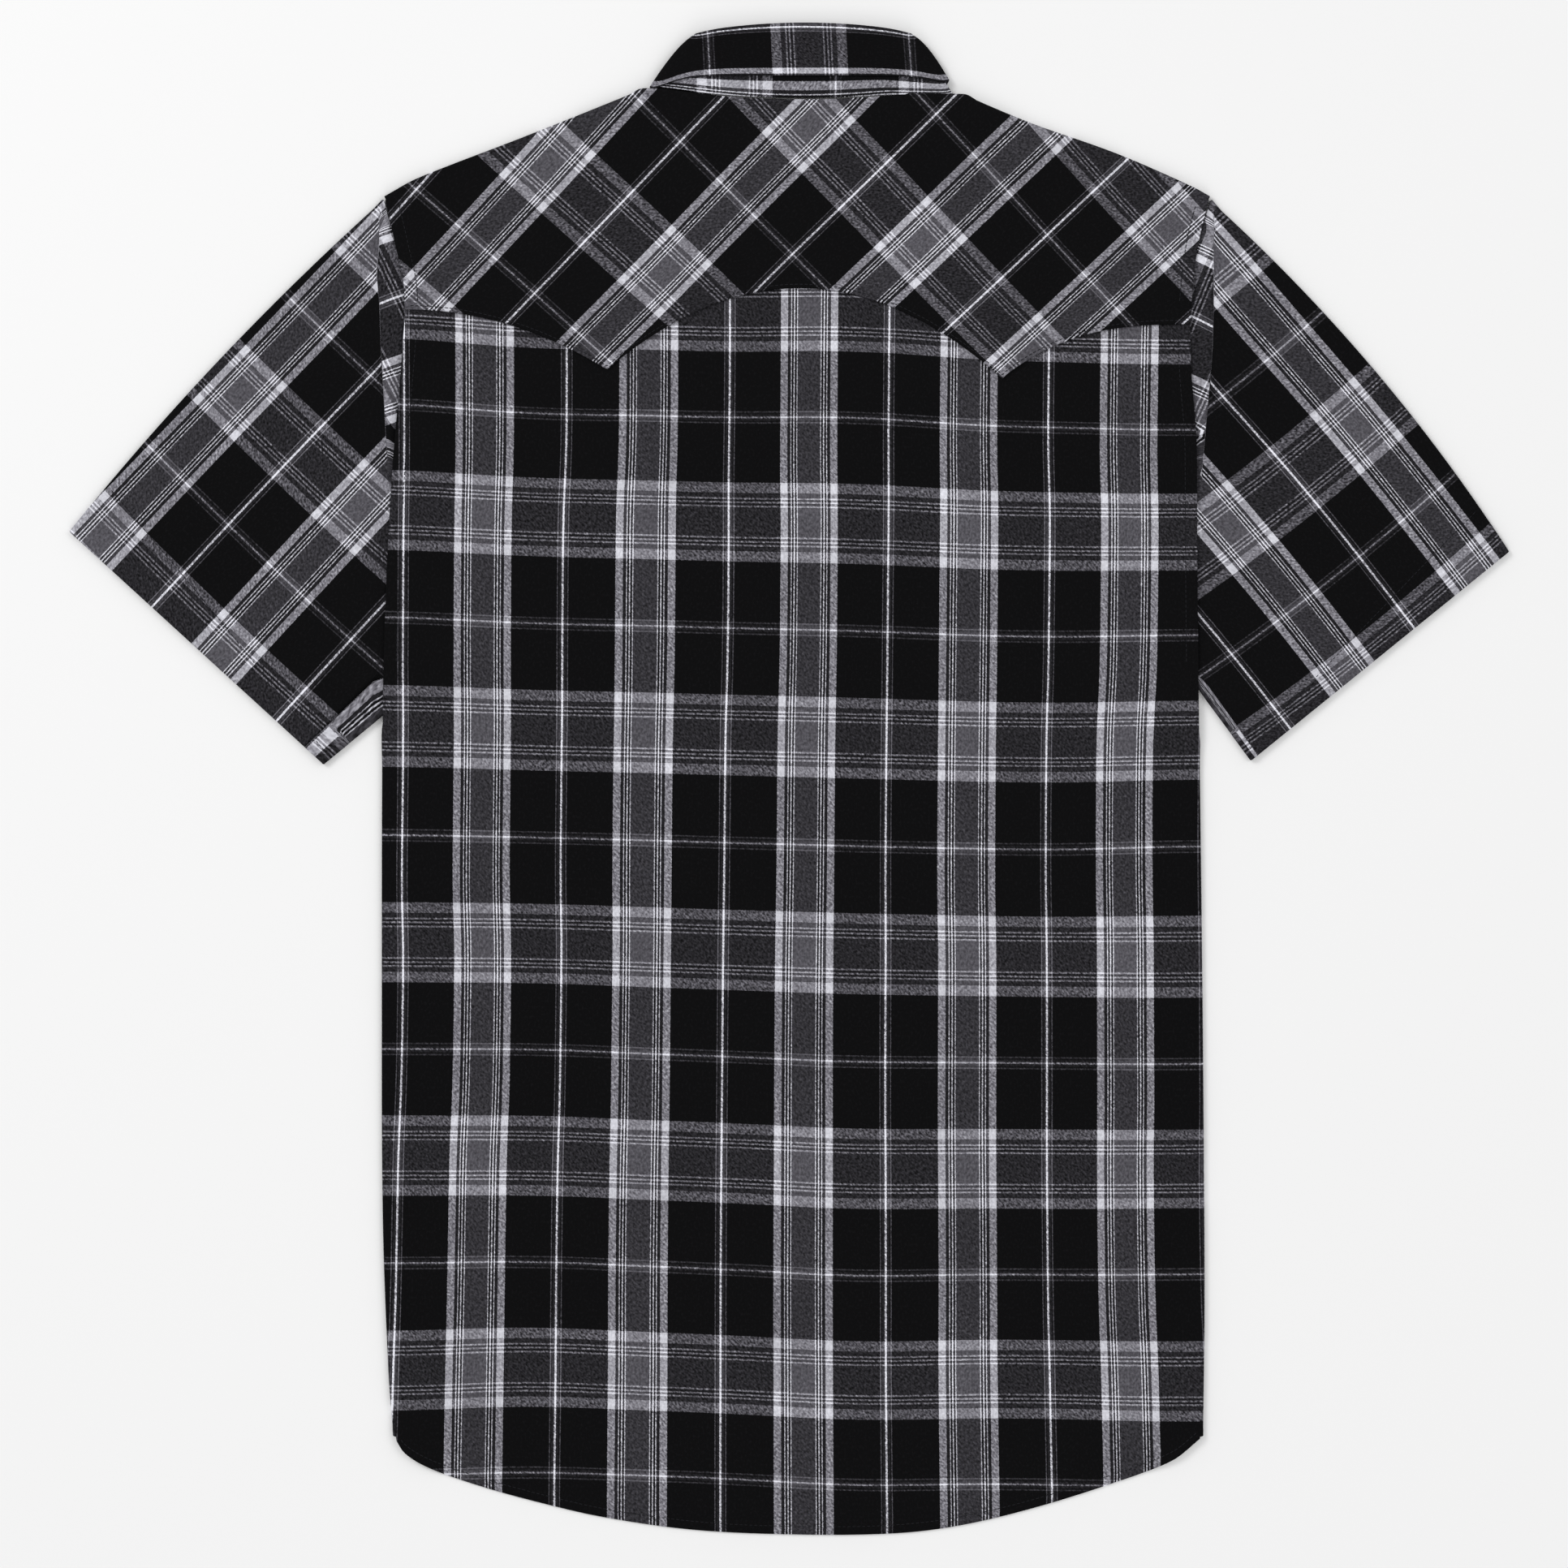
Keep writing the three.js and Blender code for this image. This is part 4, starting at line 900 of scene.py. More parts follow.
def leaf_edge(stations):
    """The leaf's outer edge: nearly straight behind the neck, and a curve to the point on each front."""
    kind, side, q = stations
    left, right, on_right = LEAF["left"], LEAF["right"], side > 0
    end_x, end_y = np.where(on_right, right[0], left[0]), np.where(on_right, right[1], left[1])
    point_x = np.where(on_right, 2 * NECK["x"] - LEAF["point"][0], LEAF["point"][0])
    bend = 2 * q * (1 - q)
    x = (1 - q) ** 2 * point_x + bend * (end_x - LEAF["bend"][0] * np.where(on_right, -1, 1)) + q * q * end_x
    y = (1 - q) ** 2 * LEAF["point"][1] + bend * LEAF["bend"][1] + q * q * end_y
    back_y = lerp(LEAF["back_edge"], np.where(q < 0.5, left[1], right[1]), np.abs(2 * q - 1) ** 7)
    x = np.where(kind == 2, lerp(left[0], right[0], q), np.where(kind == 1, end_x, x))
    return plan(x, np.where(kind == 2, back_y, np.where(kind == 1, end_y, y)))


def collar_grid(stations, outer, inner, low_z, high_z, swing, step, across, roll_over):
    """A band between two plan lines that runs low on the fronts, high behind the neck and rolls over at
    each side of it. With roll_over the rolls belly out, less so at the inner edge, and that edge turns down
    over the stand on an arc."""
    kind, side, q = stations
    run = unit(raised(inner - outer, 0.0))
    sideways = np.stack([-run[:, 1], run[:, 0], run[:, 2]], axis=-1) * np.where(side > 0, -1, 1)[:, None]
    angle = math.pi * np.where(kind == 1, q, np.where(kind == 2, 1, 0))
    out = np.where(kind == 1, swing * np.sin(angle), 0)
    z = (low_z + high_z) / 2 - (high_z - low_z) / 2 * np.cos(angle) + step
    flat = lerp(outer[:, None], inner[:, None], across[None, :, None])
    belly = (1 + 0.3 * np.sin(math.pi * across)) * (1 - 0.65 * across ** 8) if roll_over else 1 + 0 * across
    grid = raised(flat, np.broadcast_to(z[:, None], flat.shape[:2]))
    grid += sideways[:, None] * (out[:, None] * belly)[..., None]
    if not roll_over:
        return grid
    inward = -sideways * np.sin(angle)[:, None]
    inward[:, 2] = np.cos(angle)
    turn = (LEAF["turn"] * np.linspace(0, 1, 10)[1:])[None, :, None]
    arc = run[:, None] * np.sin(turn) + inward[:, None] * (1 - np.cos(turn))
    return np.concatenate([grid, grid[:, -1:] + LEAF["roll"] * arc], axis=1)


def stand_grid():
    """The stand, from the neck seam nearly to the fold. Its right end steps over the left one's ply."""
    stations = collar_stations(STAND_END)
    kind, side, q = stations
    step = np.where((kind == 0) & (side > 0), PLY * ease((0.6 - q) / 0.35), 0)
    across = np.linspace(0, STAND_SHARE, 16)
    low_z = FRONT_HEIGHT + COLLAR_LIFT
    lines = neck_line(stations), fold_line(stations)
    grid = collar_grid(stations, *lines, low_z, STAND_BACK_HEIGHT, STAND_SWING, step, across, False)
    return softened(grid, 10), stations


def leaf_grid():
    """The leaf, from its outer edge up to the fold and a little over it."""
    stations = collar_stations(LEAF_END)
    lines = leaf_edge(stations), fold_line(stations)
    across = np.concatenate([np.linspace(0, 0.04, 4)[:-1], np.linspace(0.04, 1, 24)])
    grid = collar_grid(stations, *lines, LEAF_FRONT_HEIGHT, LEAF_BACK_HEIGHT, LEAF_SWING, 0.0, across, True)
    return softened(grid, 14), stations


def run_length(points, axis=0):
    """Length along an axis of a grid of points, from its first point to each."""
    steps = np.cumsum(np.linalg.norm(np.diff(points, axis=axis), axis=-1), axis)
    return np.concatenate([np.zeros_like(steps.take([0], axis)), steps], axis)


def distance_from(grid, column):
    """Length along each row from the given column of a grid."""
    length = run_length(grid, 1)
    return length - length[:, column:column + 1]


def round_length(grid):
    """Length round the collar from the middle of its back, as x is behind the neck."""
    length, centre = run_length(grid), len(grid) // 2
    return length - length[centre] + grid[centre, :, 0]


def leaf_map(grid, stations, fold_column=26):
    """Crosswise stripes run down the leaf. A lengthwise line runs just under its fold and a light stripe
    along its outer edge."""
    kind, side, q = (part[:, None] for part in stations)
    down = -distance_from(grid, fold_column)
    v = (round_length(grid) - LEAF_WEFT[0] - 0.05 * down) / LEAF_WEFT[1]
    closeness = LEAF_WARP["close"] / WARP_HALF
    under_fold = 1 + (down - LEAF_WARP["under_fold"]) * closeness
    along_edge = LEAF_WARP["edge"] - (down[:, :1] - down) * closeness
    u = lerp(along_edge, under_fold, ease(1 - down / down[:, :1]) * np.where(kind == 0, ease(q * 3 - 2), 1))
    return np.stack([u, v], axis=-1)


def stand_map(grid, stations):
    """The stand is cut across the cloth too: a light stripe runs along it above its seam."""
    kind, side, q = (part[:, None] for part in stations)
    up = distance_from(grid, 0) / STEP
    closeness = STAND_WARP["close"] + STAND_WARP["front"] * np.where(kind == 2, 2 * q - 1, 1) ** 2
    u = (STAND_WARP["stripe"] + (up - STAND_WARP["up"]) * closeness) * STEP / WARP_HALF
    return np.stack([u, (round_length(grid) - STAND_WEFT[0]) / STAND_WEFT[1]], axis=-1)


def stitch_beads(path, up, sizes):
    """Beads of thread at even places along a line of points: two rings of six points and a pole at each
    end, which dips into the cloth. up is the direction away from the cloth, one for all or one a point."""
    length, pitch = run_length(path), sizes.stitch_pitch / MM
    at = np.arange(pitch / 2, length[-1], pitch)

    def read(vectors, places):
        return np.stack([np.interp(places, length, vectors[:, k]) for k in range(3)], axis=-1)

    ahead = unit(read(path, at + 0.6) - read(path, at - 0.6))
    up = unit(read(np.broadcast_to(up, path.shape), at))
    side = unit(np.cross(up, ahead))
    axes = np.stack([ahead, side, np.cross(ahead, side)], axis=1)
    angle = 2 * math.pi * np.arange(6) / 6
    rings = [(a, 1.1 * c, 0.8 * s) for a in (-0.28, 0.28) for c, s in zip(np.cos(angle), np.sin(angle))]
    scale = np.array((sizes.stitch_length, sizes.thread, sizes.thread)) / MM
    bead = np.array([(-0.5, 0, -0.5), *rings, (0.5, 0, -0.5)]) * scale
    points = read(path, at)[:, None] + np.einsum("vk,nkc->nvc", bead, axes)
    j, k = 1 + np.arange(6), 1 + (np.arange(6) + 1) % 6
    near, far = np.zeros(6, int), np.full(6, len(bead) - 1)
    triangles = ((near, k, j), (far, j + 6, k + 6), (j, k, k + 6), (j, k + 6, j + 6))
    faces = np.concatenate([np.stack(corners, axis=-1) for corners in triangles])
    faces = faces + len(bead) * np.arange(len(at))[:, None, None]
    return points.reshape(-1, 3), faces.reshape(-1, 3)


def sew(name, rows, sizes):
    """Joins the stitch lines of one panel into one piece of thread."""
    points, faces, count = [], [], 0
    for path, up in rows:
        line_points, line_faces = stitch_beads(path, up, sizes)
        points.append(line_points)
        faces.append(line_faces + count)
        count += len(line_points)
    dress(make_mesh(name, np.concatenate(points), np.concatenate(faces)), "sewing_thread")


class Value:
    """A number socket of a node tree that takes part in Python expressions."""

    def __init__(self, shader, socket):
        self.shader, self.socket = shader, socket

    def math(self, operation, *others):
        """A maths node with this value on its first socket."""
        return self.shader.value("ShaderNodeMath", {"operation": operation}, dict(enumerate((self, *others))))

    def __add__(self, other):
        return self.math("ADD", other)

    def __sub__(self, other):
        return self.math("SUBTRACT", other)

    def __rsub__(self, other):
        return self.shader.value("ShaderNodeMath", {"operation": "SUBTRACT"}, {0: other, 1: self})

    def __mul__(self, other):
        return self.math("MULTIPLY", other)

    def __truediv__(self, other):
        return self.math("DIVIDE", other)

    def __pow__(self, other):
        return self.math("POWER", other)

    __radd__ = __add__

    def clamped(self, low, high):
        return self.math("MAXIMUM", low).math("MINIMUM", high)


class Shader:
    """A new material, with the methods that add its nodes."""

    def __init__(self, name):
        self.material = bpy.data.materials.new(name)
        self.material.use_nodes = True
        self.tree = self.material.node_tree
        self.tree.nodes.clear()

    def add(self, kind, settings=None, values=None):
        """Adds a node: its settings first, then a value or a link for each named or numbered socket."""
        node = self.tree.nodes.new(kind)
        for key, setting in (settings or {}).items():
            if key == "stops":
                ramp = node.color_ramp
                ramp.interpolation = "CONSTANT"
                while len(ramp.elements) < len(setting):
                    ramp.elements.new(1.0)
                for element, (place, shade) in zip(ramp.elements, setting):
                    element.position = place
                    element.color = (shade, shade, shade, 1)
            else:
                setattr(node, key, setting)
        for key, value in (values or {}).items():
            socket = node.inputs[key]
            if isinstance(value, Value):
                value = value.socket
            if isinstance(value, bpy.types.NodeSocket):
                self.tree.links.new(value, socket)
            else:
                socket.default_value = value
        return node

    def value(self, kind, settings=None, values=None):
        return Value(self, self.add(kind, settings, values).outputs[0])

    def noise(self, vector, scale, detail=2.0, roughness=0.5):
        values = {"Vector": vector, "Scale": scale, "Detail": detail, "Roughness": roughness}
        return self.value("ShaderNodeTexNoise", None, values)

    def point(self, x, y, z=0.0):
        return self.add("ShaderNodeCombineXYZ", None, {"X": x, "Y": y, "Z": z}).outputs[0]

    def place(self):
        """Where the shaded point is in its piece, in metres."""
        return self.add("ShaderNodeTexCoord").outputs["Object"]

    def mix(self, factor, a, b):
        """Colour a changed to colour b by the factor."""
        values = {0: factor, 6: (*a, 1), 7: b if isinstance(b, bpy.types.NodeSocket) else (*b, 1)}
        return self.add("ShaderNodeMix", {"data_type": "RGBA"}, values).outputs[2]

    def stripes(self, place, rows, half):
        """The shade of a stripe pattern at a place that counts half repeats."""
        stops = [(start * STEP / half, shade) for start, shade in rows]
        return self.value("ShaderNodeValToRGB", {"stops": stops}, {"Fac": place.math("PINGPONG", 1.0)})

    def finish(self, colour, roughness, normal=None, **constants):
        """The shader itself: changing values through links, the rest as constants on its sockets."""
        values = {"Base Color": colour, "Roughness": roughness}
        values.update({key.replace("_", " "): value for key, value in constants.items()})
        if normal is not None:
            values["Normal"] = normal
        surface = self.add("ShaderNodeBsdfPrincipled", None, values)
        self.add("ShaderNodeOutputMaterial", None, {"Surface": surface.outputs[0]})
        return self.material

    def bump(self, height, strength, distance):
        values = {"Height": height, "Strength": strength, "Distance": distance}
        return self.add("ShaderNodeBump", None, values).outputs[0]


def to_light(tone):
    """The light that a tone on the screen stands for: ((tone + 0.055) / 1.055) to the power 2.4."""
    return ((tone + 0.055) / 1.055) ** 2.4


def woven_plaid(colours):
    """Brushed cotton in a plaid. The map's u and v count half repeats, so folded to 0..1 they reach from the
    middle of a wide band to the middle of the thin lines, and a ramp each way gives how much the yarns
    lighten the black, a and b. Where both do, the twill shows more of them, so the tone is
    BLACK + a + b + TOGETHER sqrt(a b). Each thread varies, so the tone is broken up into slanting specks."""
    shader = Shader("woven_plaid")
    uv = shader.add("ShaderNodeUVMap", {"uv_map": "cloth"}).outputs[0]
    split = shader.add("ShaderNodeSeparateXYZ", None, {"Vector": uv})
    u, v = Value(shader, split.outputs[0]), Value(shader, split.outputs[1])
    x, y = u * WARP_HALF, v * WEFT_HALF
    flat = shader.point(x, y)

    # Yarns wander a little, so the edges of the stripes are not ruled
    wander = shader.noise(flat, 1.3, 1.0) - 0.5
    warp = shader.stripes(u + wander * (0.6 / WARP_HALF), WARP_STRIPES, WARP_HALF)
    weft = shader.stripes(v + wander * (0.6 / WEFT_HALF), WEFT_STRIPES, WEFT_HALF)

    # Specks of the twill, which lie aslant, fibres brushed along the yarns, and slow clouds of painted light
    # and shade that stand in for the drape's soft folds
    aslant = shader.point((x + y) * 0.5, (x - y) * 0.85)
    twill = (shader.noise(aslant, 0.85, 1.5) - 0.5) * GRAIN
    fibre = (shader.noise(shader.point(x * 1.2, y * 0.8, 7.0), 0.72, 1.5) - 0.5) * GRAIN
    painted_drape_shading = shader.noise(flat, 0.02) - 0.5
    tone = warp + weft + (warp * weft) ** 0.5 * TOGETHER
    tone = tone + twill * (warp - weft * 1.7) + fibre * (tone * (1 - tone) * 0.7 + 0.045)
    # The slow clouds lighten and darken the tone: painted light and shade of the drape's folds
    tone = (tone * (1 + painted_drape_shading * 0.35) + BLACK).clamped(BLACK * 0.6, 0.98)
    share = (to_light(tone) - to_light(BLACK)).clamped(-0.01, 1.0)
    yarn = shader.mix(share * 1.8, colours.grey_yarn, colours.light_yarn)
    colour = shader.mix(share, colours.dark_yarn, yarn)

    height = ((x + y) * (2 * math.pi / TWILL_PITCH)).math("SINE") * 0.5 + twill * 0.35
    normal = shader.bump(height, 0.25, 0.00012)
    return shader.finish(colour, 0.9 - share * 0.08, normal, Specular_IOR_Level=0.04)


def sewing_thread(colours):
    """Twisted thread: slanting strands across each stitch."""
    shader = Shader("sewing_thread")
    grain = shader.noise(shader.place(), 2600.0)
    colour = shader.mix(grain, colours.thread, [c * 1.8 for c in colours.thread])
    return shader.finish(colour, grain * 0.1 + 0.85, shader.bump(grain, 0.3, 0.0001), Specular_IOR_Level=0.05)


def dark_pearl(colours):
    """Dark pearl: cloudy bands under a clear coat."""
    shader = Shader("dark_pearl")
    place = shader.place()
    fine = shader.noise(place, 2200.0)
    share = (shader.noise(place, 420.0, 3.0, 0.6) * 1.6 - 0.35).clamped(0.0, 1.0)
    colour = shader.mix(share, colours.pearl_dark, colours.pearl_light)
    normal = shader.bump(fine, 0.05, 0.0001)
    return shader.finish(colour, fine * 0.1 + 0.2, normal, Coat_Weight=0.7, Coat_Roughness=0.08)


def floor_paper(colours):
    """The pale surface the shirt lies on, with a faint tooth."""
    shader = Shader("floor_paper")
    tooth = shader.noise(shader.place(), 900.0)
    colour = shader.mix(tooth, [c * 0.99 for c in colours.floor], colours.floor)
    return shader.finish(colour, 0.95, None, Specular_IOR_Level=0.0)


def material(name):
    """One of the shirt's finishes, made when it is first asked for."""
    makers = {
        "woven_plaid": woven_plaid, "sewing_thread": sewing_thread,
        "dark_pearl": dark_pearl, "floor_paper": floor_paper,
    }
    return bpy.data.materials.get(name) or makers[name](bpy.context.scene.shirt_colours)


def dress(piece, finish):
    """Gives a piece its finish and lets it ride on the shirt's one body."""
    piece.data.materials.append(material(finish))
    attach(piece, "root")
    return piece


def panel(name, grid, uv, thickness, closed=False):
    """One panel of the plaid cloth, dressed."""
    return dress(cloth_shell(name, grid, uv, thickness, closed), "woven_plaid")


def turned_in(width, away, extra, ramp):
    """Extra thickness within a turning's width of an edge, fading over the ramp."""
    return extra * ease((width - away) / ramp)


def area_of(grid):
    """Area of a grid of points in square metres, on one face."""
    side_a, side_b = grid[1:, 1:] - grid[:-1, :-1], grid[1:, :-1] - grid[:-1, 1:]
    return float(np.linalg.norm(np.cross(side_a, side_b), axis=-1).sum() / 2) * MM * MM


def size(name, default, low, high, description):
    """A length in metres between two limits, for the sidebar."""
    return bpy.props.FloatProperty(
        name=name, description=description, default=default, min=low, max=high,
        precision=5, subtype="DISTANCE", unit="LENGTH")


def tint(name, default, description):
    """A colour for the sidebar."""
    return bpy.props.FloatVectorProperty(
        name=name, description=description, default=default, min=0, max=1, subtype="COLOR")


class ShirtSizes(bpy.types.PropertyGroup):
    """Sizes a maker would change."""

    cloth: size("Cloth", 0.0008, 0.0003, 0.001, "Thickness of one layer of shirting as it shows")
    collar_cloth: size("Collar leaf", 0.0014, 0.0005, 0.0015, "Thickness of the leaf with its interlining")
    hem_inset: size("Tail hem", 0.0045, 0.002, 0.02, "From the tail's edge to its stitch line")
    sleeve_hem: size("Sleeve hem", 0.0175, 0.005, 0.03, "From a sleeve's edge to its stitch line")
    stitch_pitch: size("Stitch pitch", 0.0026, 0.0015, 0.006, "From one stitch to the next")
    stitch_length: size("Stitch length", 0.0022, 0.001, 0.005, "Thread that shows of each stitch")
    thread: size("Thread radius", 0.0002, 0.0001, 0.0005, "Half the thickness of the sewing thread")


class ShirtColours(bpy.types.PropertyGroup):
    """Colours of the yarns, the thread, the snaps and the floor."""

    dark_yarn: tint("Dark yarn", (0.0042, 0.0041, 0.0045), "Colour of the black cotton")
    grey_yarn: tint("Grey yarn", (0.90, 0.86, 1.0), "Tint of the greys, before they are darkened")
    light_yarn: tint("Light yarn", (0.92, 0.92, 1.0), "Colour of the white cotton")
    thread: tint("Thread", (0.012, 0.012, 0.014), "Colour of the sewing thread")
    pearl_dark: tint("Pearl, dark", (0.02, 0.02, 0.024), "Darker bands of the snap caps")
    pearl_light: tint("Pearl, light", (0.16, 0.16, 0.18), "Lighter bands of the snap caps")
    floor: tint("Floor", (0.93, 0.93, 0.93), "Colour of the surface under the shirt")


class SHIRT_OT_back(bpy.types.Operator):
    """Makes the back panel with its curved tail"""

    bl_idname = "shirt.back"
    bl_label = "Back"

    def execute(self, context):
        sizes = context.scene.shirt_sizes
        grid = back_grid()
        rise = grid[..., 1] - hem_at(grid[..., 0])
        thick = sizes.cloth / MM + turned_in(sizes.hem_inset / MM, rise, 0.25, 0.8)
        piece = panel("back_cloth", grid, map_of(grid, body_map()), thick)
        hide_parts("back")
        area_of(grid)
        return {"FINISHED"}


class SHIRT_OT_yoke(bpy.types.Operator):
    """Makes the back yoke with its two points"""

    bl_idname = "shirt.yoke"
    bl_label = "Back yoke"

    def execute(self, context):
        sizes = context.scene.shirt_sizes
        grid = yoke_grid()
        above = grid[..., 1] - yoke_edge(grid[..., 0])
        thick = sizes.cloth / MM + turned_in(6, above, 0.2, 2)
        piece = panel("yoke_cloth", grid, map_of(grid, crossing_map(YOKE_CROSSINGS)), thick)
        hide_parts("back_yoke")
        area_of(grid)
        return {"FINISHED"}


class SHIRT_OT_fronts(bpy.types.Operator):
    """Makes the two fronts, which lie face down"""

    bl_idname = "shirt.fronts"
    bl_label = "Fronts"

    def execute(self, context):
        thick = context.scene.shirt_sizes.cloth / MM
        maps = body_map()
        for name in ("left", "right"):
            grid = front_grid(name)
            piece = panel(f"front_{name}_cloth", grid, map_of(grid, maps), thick)
            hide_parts(f"front_{name}")
            area_of(grid)
        return {"FINISHED"}


class SHIRT_OT_placket(bpy.types.Operator):
    """Makes the front placket, pressed round its snaps"""

    bl_idname = "shirt.placket"
    bl_label = "Placket"

    def execute(self, context):
        grid = placket_grid()
        piece = panel("placket_cloth", grid, map_of(grid, body_map()), PLACKET_CLOTH)
        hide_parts("placket")
        area_of(grid)
        return {"FINISHED"}


class SHIRT_OT_sleeves(bpy.types.Operator):
    """Makes the two short sleeves, flattened, with the pleat at each armhole"""

    bl_idname = "shirt.sleeves"
    bl_label = "Sleeves"

    def execute(self, context):
        sizes = context.scene.shirt_sizes
        for name in ("left", "right"):
            rings, _, f, full = sleeve_grid(name)
            hem = sizes.sleeve_hem / MM
            thick = sizes.cloth / MM + turned_in(hem, to_hem(rings), 0.18, 1.5)
            uv = sleeve_map(name, rings, f, full, hem)
            piece = panel(f"sleeve_{name}_cloth", rings, uv, thick, closed=True)
            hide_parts(f"sleeve_{name}")
            closed = np.concatenate([rings, rings[:, :1]], axis=1)
            area_of(closed)
        return {"FINISHED"}


class SHIRT_OT_collar(bpy.types.Operator):
    """Makes the collar: the stand round the neck and the leaf folded over it"""

    bl_idname = "shirt.collar"
    bl_label = "Collar"

    def execute(self, context):
        sizes = context.scene.shirt_sizes
        grid, stations = stand_grid()
        piece = panel("stand_cloth", grid, stand_map(grid, stations), sizes.cloth / MM)
        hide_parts("collar_stand")
        area_of(grid)
        grid, stations = leaf_grid()
        piece = panel("leaf_cloth", grid, leaf_map(grid, stations), sizes.collar_cloth / MM)
        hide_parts("collar_leaf")
        area_of(grid)
        return {"FINISHED"}


class SHIRT_OT_stitching(bpy.types.Operator):
    """Sews the topstitching and hems with beads of thread"""

    bl_idname = "shirt.stitching"
    bl_label = "Stitching"

    def execute(self, context):
        sizes = context.scene.shirt_sizes
        skin = sizes.cloth / MM / 2 + 0.05
        up, down = (0, 0, 1), (0, 0, -1)

        def on_back(x, y):
            return np.stack([x, y, back_height(x, y) + skin], axis=-1)

        def on_yoke(x, y):
            return np.stack([x, y, yoke_height(x, y) + skin + 0.08], axis=-1)

        def upright(piece, lines):
            sew(piece, [(line, up) for line in lines], sizes)

        def armholes(on, high_y, low_y):
            y = np.linspace(high_y, low_y, 160)
            left = side_edge("left", y) + STITCH_IN["armhole left"]
            return on(left, y), on(side_edge("right", y) - STITCH_IN["armhole right"], y)

        x = np.linspace(-201, 210, 500)
        edge = on_yoke(x, yoke_edge(x) + STITCH_IN["yoke"])
        upright("yoke_stitching", (edge, *armholes(on_yoke, 304, 252)))

        x = np.linspace(-206, 216, 400)
        tail = on_back(x, hem_at(x) + sizes.hem_inset / MM)
        upright("back_stitching", (tail, *armholes(on_back, 236, 62)))

        for name in ("left", "right"):
            rings, upper, _, _ = sleeve_grid(name)
            count = upper.shape[1]
            lower = rings[:, count + FOLD_POINTS:2 * count + FOLD_POINTS]
            inner = distance_from(upper.swapaxes(0, 1)[:, ::-1], 0)
            row = -1 - int(np.argmin(np.abs(inner.mean(0) - sizes.sleeve_hem / MM)))
            top_line = upper[row, 2:-2] + np.array((0, 0, skin))
            low_line = lower[row, 2:-2] + np.array((0, 0, SINK["sleeve"] - skin))
            sew(f"sleeve_{name}_stitching", [(top_line, up), (low_line, down)], sizes)

        grid, _ = leaf_grid()
        out = sizes.collar_cloth / MM / 2 + 0.05
        column = int(np.argmin(np.abs(distance_from(grid, 0)[len(grid) // 2] - STITCH_IN["leaf"])))
        line, normal = grid[2:-2, column], normals_of(grid)[2:-2, column]
        sew("leaf_stitching", [(line + normal * out, normal)], sizes)

        grid, _ = stand_grid()
        line, normal = grid[2:-2, 1], normals_of(grid)[2:-2, 1]
        sew("stand_stitching", [(line + normal * skin, normal)], sizes)

        inset = STITCH_IN["placket"]
        y = np.linspace(hem_at(float(CENTRE)) + FRONT_HEM_RISE + inset, NECK_FRONT - inset, 300)
        rows = []
        for out in (inset - PLACKET_HALF, PLACKET_HALF - inset):
            line = np.stack([CENTRE + out + 0 * y, y, PLACKET_HEIGHT - SINK["placket"] + 0 * y], axis=-1)
            rows.append((line, down))
        for side in (-1, 1):
            x = np.linspace(CENTRE + side * 26, side * 196, 200)
            low_line = hem_at(x) + FRONT_HEM_RISE + STITCH_IN["front"]
            height = front_height(x, low_line, side > 0) - skin + SINK["front"]
            rows.append((np.stack([x, low_line, height], axis=-1), down))
        sew("front_stitching", rows, sizes)
        return {"FINISHED"}


class SHIRT_OT_snaps(bpy.types.Operator):
    """Gives the snap caps their pearl finish"""

    bl_idname = "shirt.snaps"
    bl_label = "Snaps"

    def execute(self, context):
        names = [f"snap_{i + 1}" for i in range(SNAP_COUNT)] + ["snap_collar"]
        for name in names:
            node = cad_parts[name]
            node.data.materials.clear()
            node.data.materials.append(material("dark_pearl"))
        return {"FINISHED"}


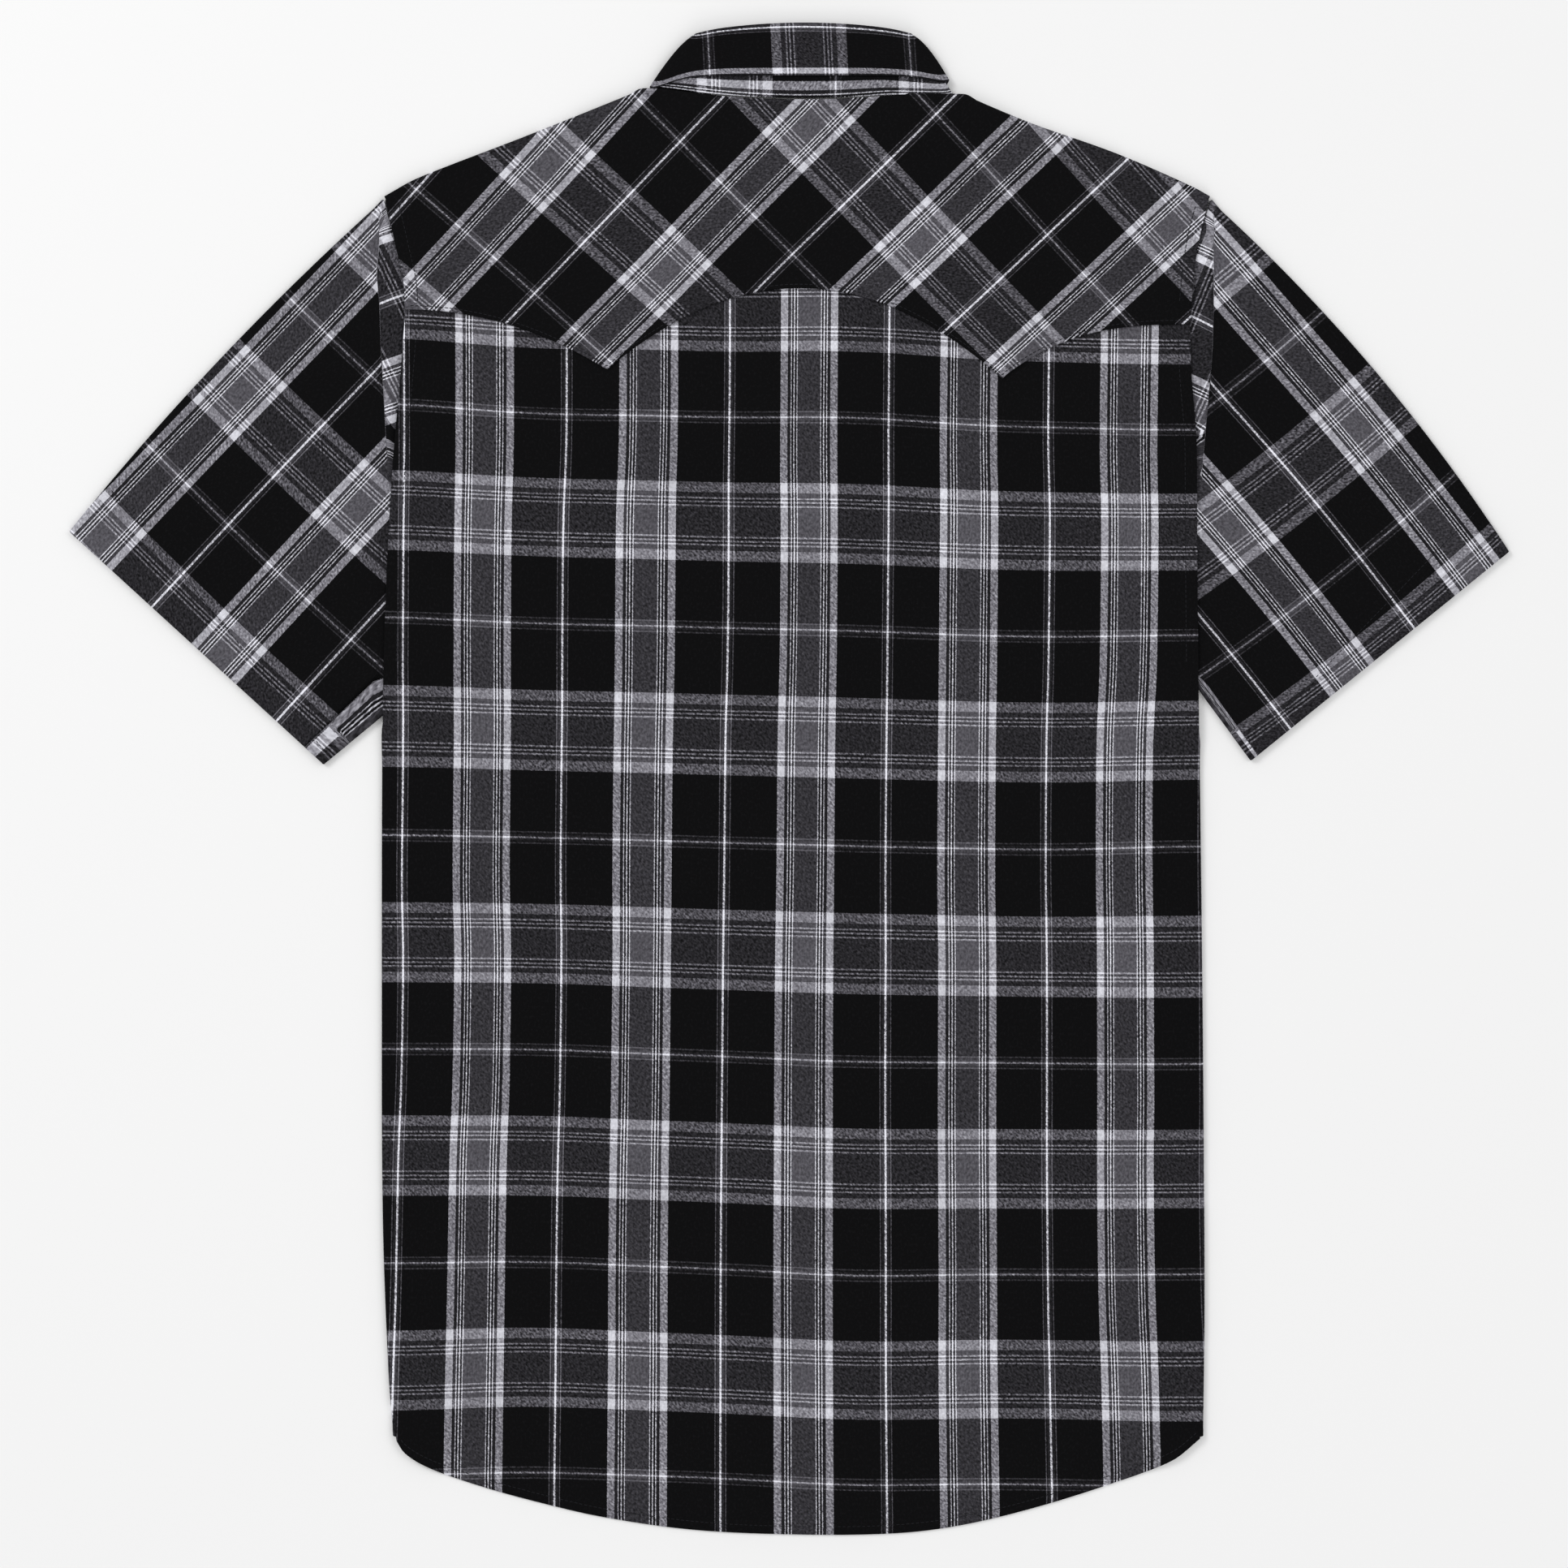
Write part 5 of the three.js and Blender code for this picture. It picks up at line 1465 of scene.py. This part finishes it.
class SHIRT_OT_studio(bpy.types.Operator):
    """Makes the pale floor, the soft lights and the camera"""

    bl_idname = "shirt.studio"
    bl_label = "Studio"

    def execute(self, context):
        scene = context.scene
        scene.view_settings.view_transform = "Standard"
        corners = np.array([(-4000, -4000, 0), (4000, -4000, 0), (4000, 4000, 0), (-4000, 4000, 0)], float)
        floor = make_mesh("floor", corners - SHIFT, np.array([(0, 1, 2, 3)]))
        floor.data.materials.append(material("floor_paper"))

        world = bpy.data.worlds.new("soft_room")
        world.use_nodes = True
        world.node_tree.nodes["Background"].inputs["Color"].default_value = (1, 1, 1, 1)
        world.node_tree.nodes["Background"].inputs["Strength"].default_value = 0.62
        scene.world = world
        for name, place, size, power in (
            ("key_light", (-1.9, 1.5, 2.2), 1.2, 34),
            ("fill_light", (2.2, 0.6, 2.4), 1.8, 16),
            ("low_light", (0.3, -2.4, 1.6), 1.4, 10),
        ):
            lamp = bpy.data.lights.new(name, "AREA")
            lamp.size, lamp.energy = size, power
            stand = bpy.data.objects.new(name, lamp)
            stand.location = place
            aim = Vector(place) * -1
            stand.rotation_euler = aim.to_track_quat("-Z", "Y").to_euler()
            scene.collection.objects.link(stand)

        lens = bpy.data.cameras.new("photo_camera")
        lens.lens, lens.sensor_width = 100, 36
        camera = bpy.data.objects.new("photo_camera", lens)
        camera.location = (-0.0028, -0.0026, 2.312)
        scene.collection.objects.link(camera)
        scene.camera = camera
        return {"FINISHED"}


class SHIRT_PT_pieces(bpy.types.Panel):
    """Lists the shirt's pieces, sizes and colours"""

    bl_idname = "SHIRT_PT_pieces"
    bl_label = "Western snap shirt"
    bl_space_type = "VIEW_3D"
    bl_region_type = "UI"
    bl_category = "Shirt"

    def draw(self, context):
        layout = self.layout
        for operator in OPERATORS:
            layout.operator(operator.bl_idname)
        for group in (context.scene.shirt_sizes, context.scene.shirt_colours):
            box = layout.box()
            for key in group.bl_rna.properties.keys():
                if key not in ("rna_type", "name"):
                    box.prop(group, key)


OPERATORS = (
    SHIRT_OT_back, SHIRT_OT_yoke, SHIRT_OT_fronts, SHIRT_OT_placket, SHIRT_OT_sleeves,
    SHIRT_OT_collar, SHIRT_OT_stitching, SHIRT_OT_snaps, SHIRT_OT_studio,
)
CLASSES = (ShirtSizes, ShirtColours, *OPERATORS, SHIRT_PT_pieces)


def register():
    for cls in CLASSES:
        bpy.utils.register_class(cls)
    bpy.types.Scene.shirt_sizes = bpy.props.PointerProperty(type=ShirtSizes)
    bpy.types.Scene.shirt_colours = bpy.props.PointerProperty(type=ShirtColours)


def unregister():
    del bpy.types.Scene.shirt_colours
    del bpy.types.Scene.shirt_sizes
    for cls in reversed(CLASSES):
        bpy.utils.unregister_class(cls)


def main():
    """Makes the shirt piece by piece."""
    register()
    bpy.ops.shirt.back()
    bpy.ops.shirt.yoke()
    bpy.ops.shirt.fronts()
    bpy.ops.shirt.placket()
    bpy.ops.shirt.sleeves()
    bpy.ops.shirt.collar()
    bpy.ops.shirt.stitching()
    bpy.ops.shirt.snaps()
    bpy.ops.shirt.studio()


if __name__ == "__main__":
    main()
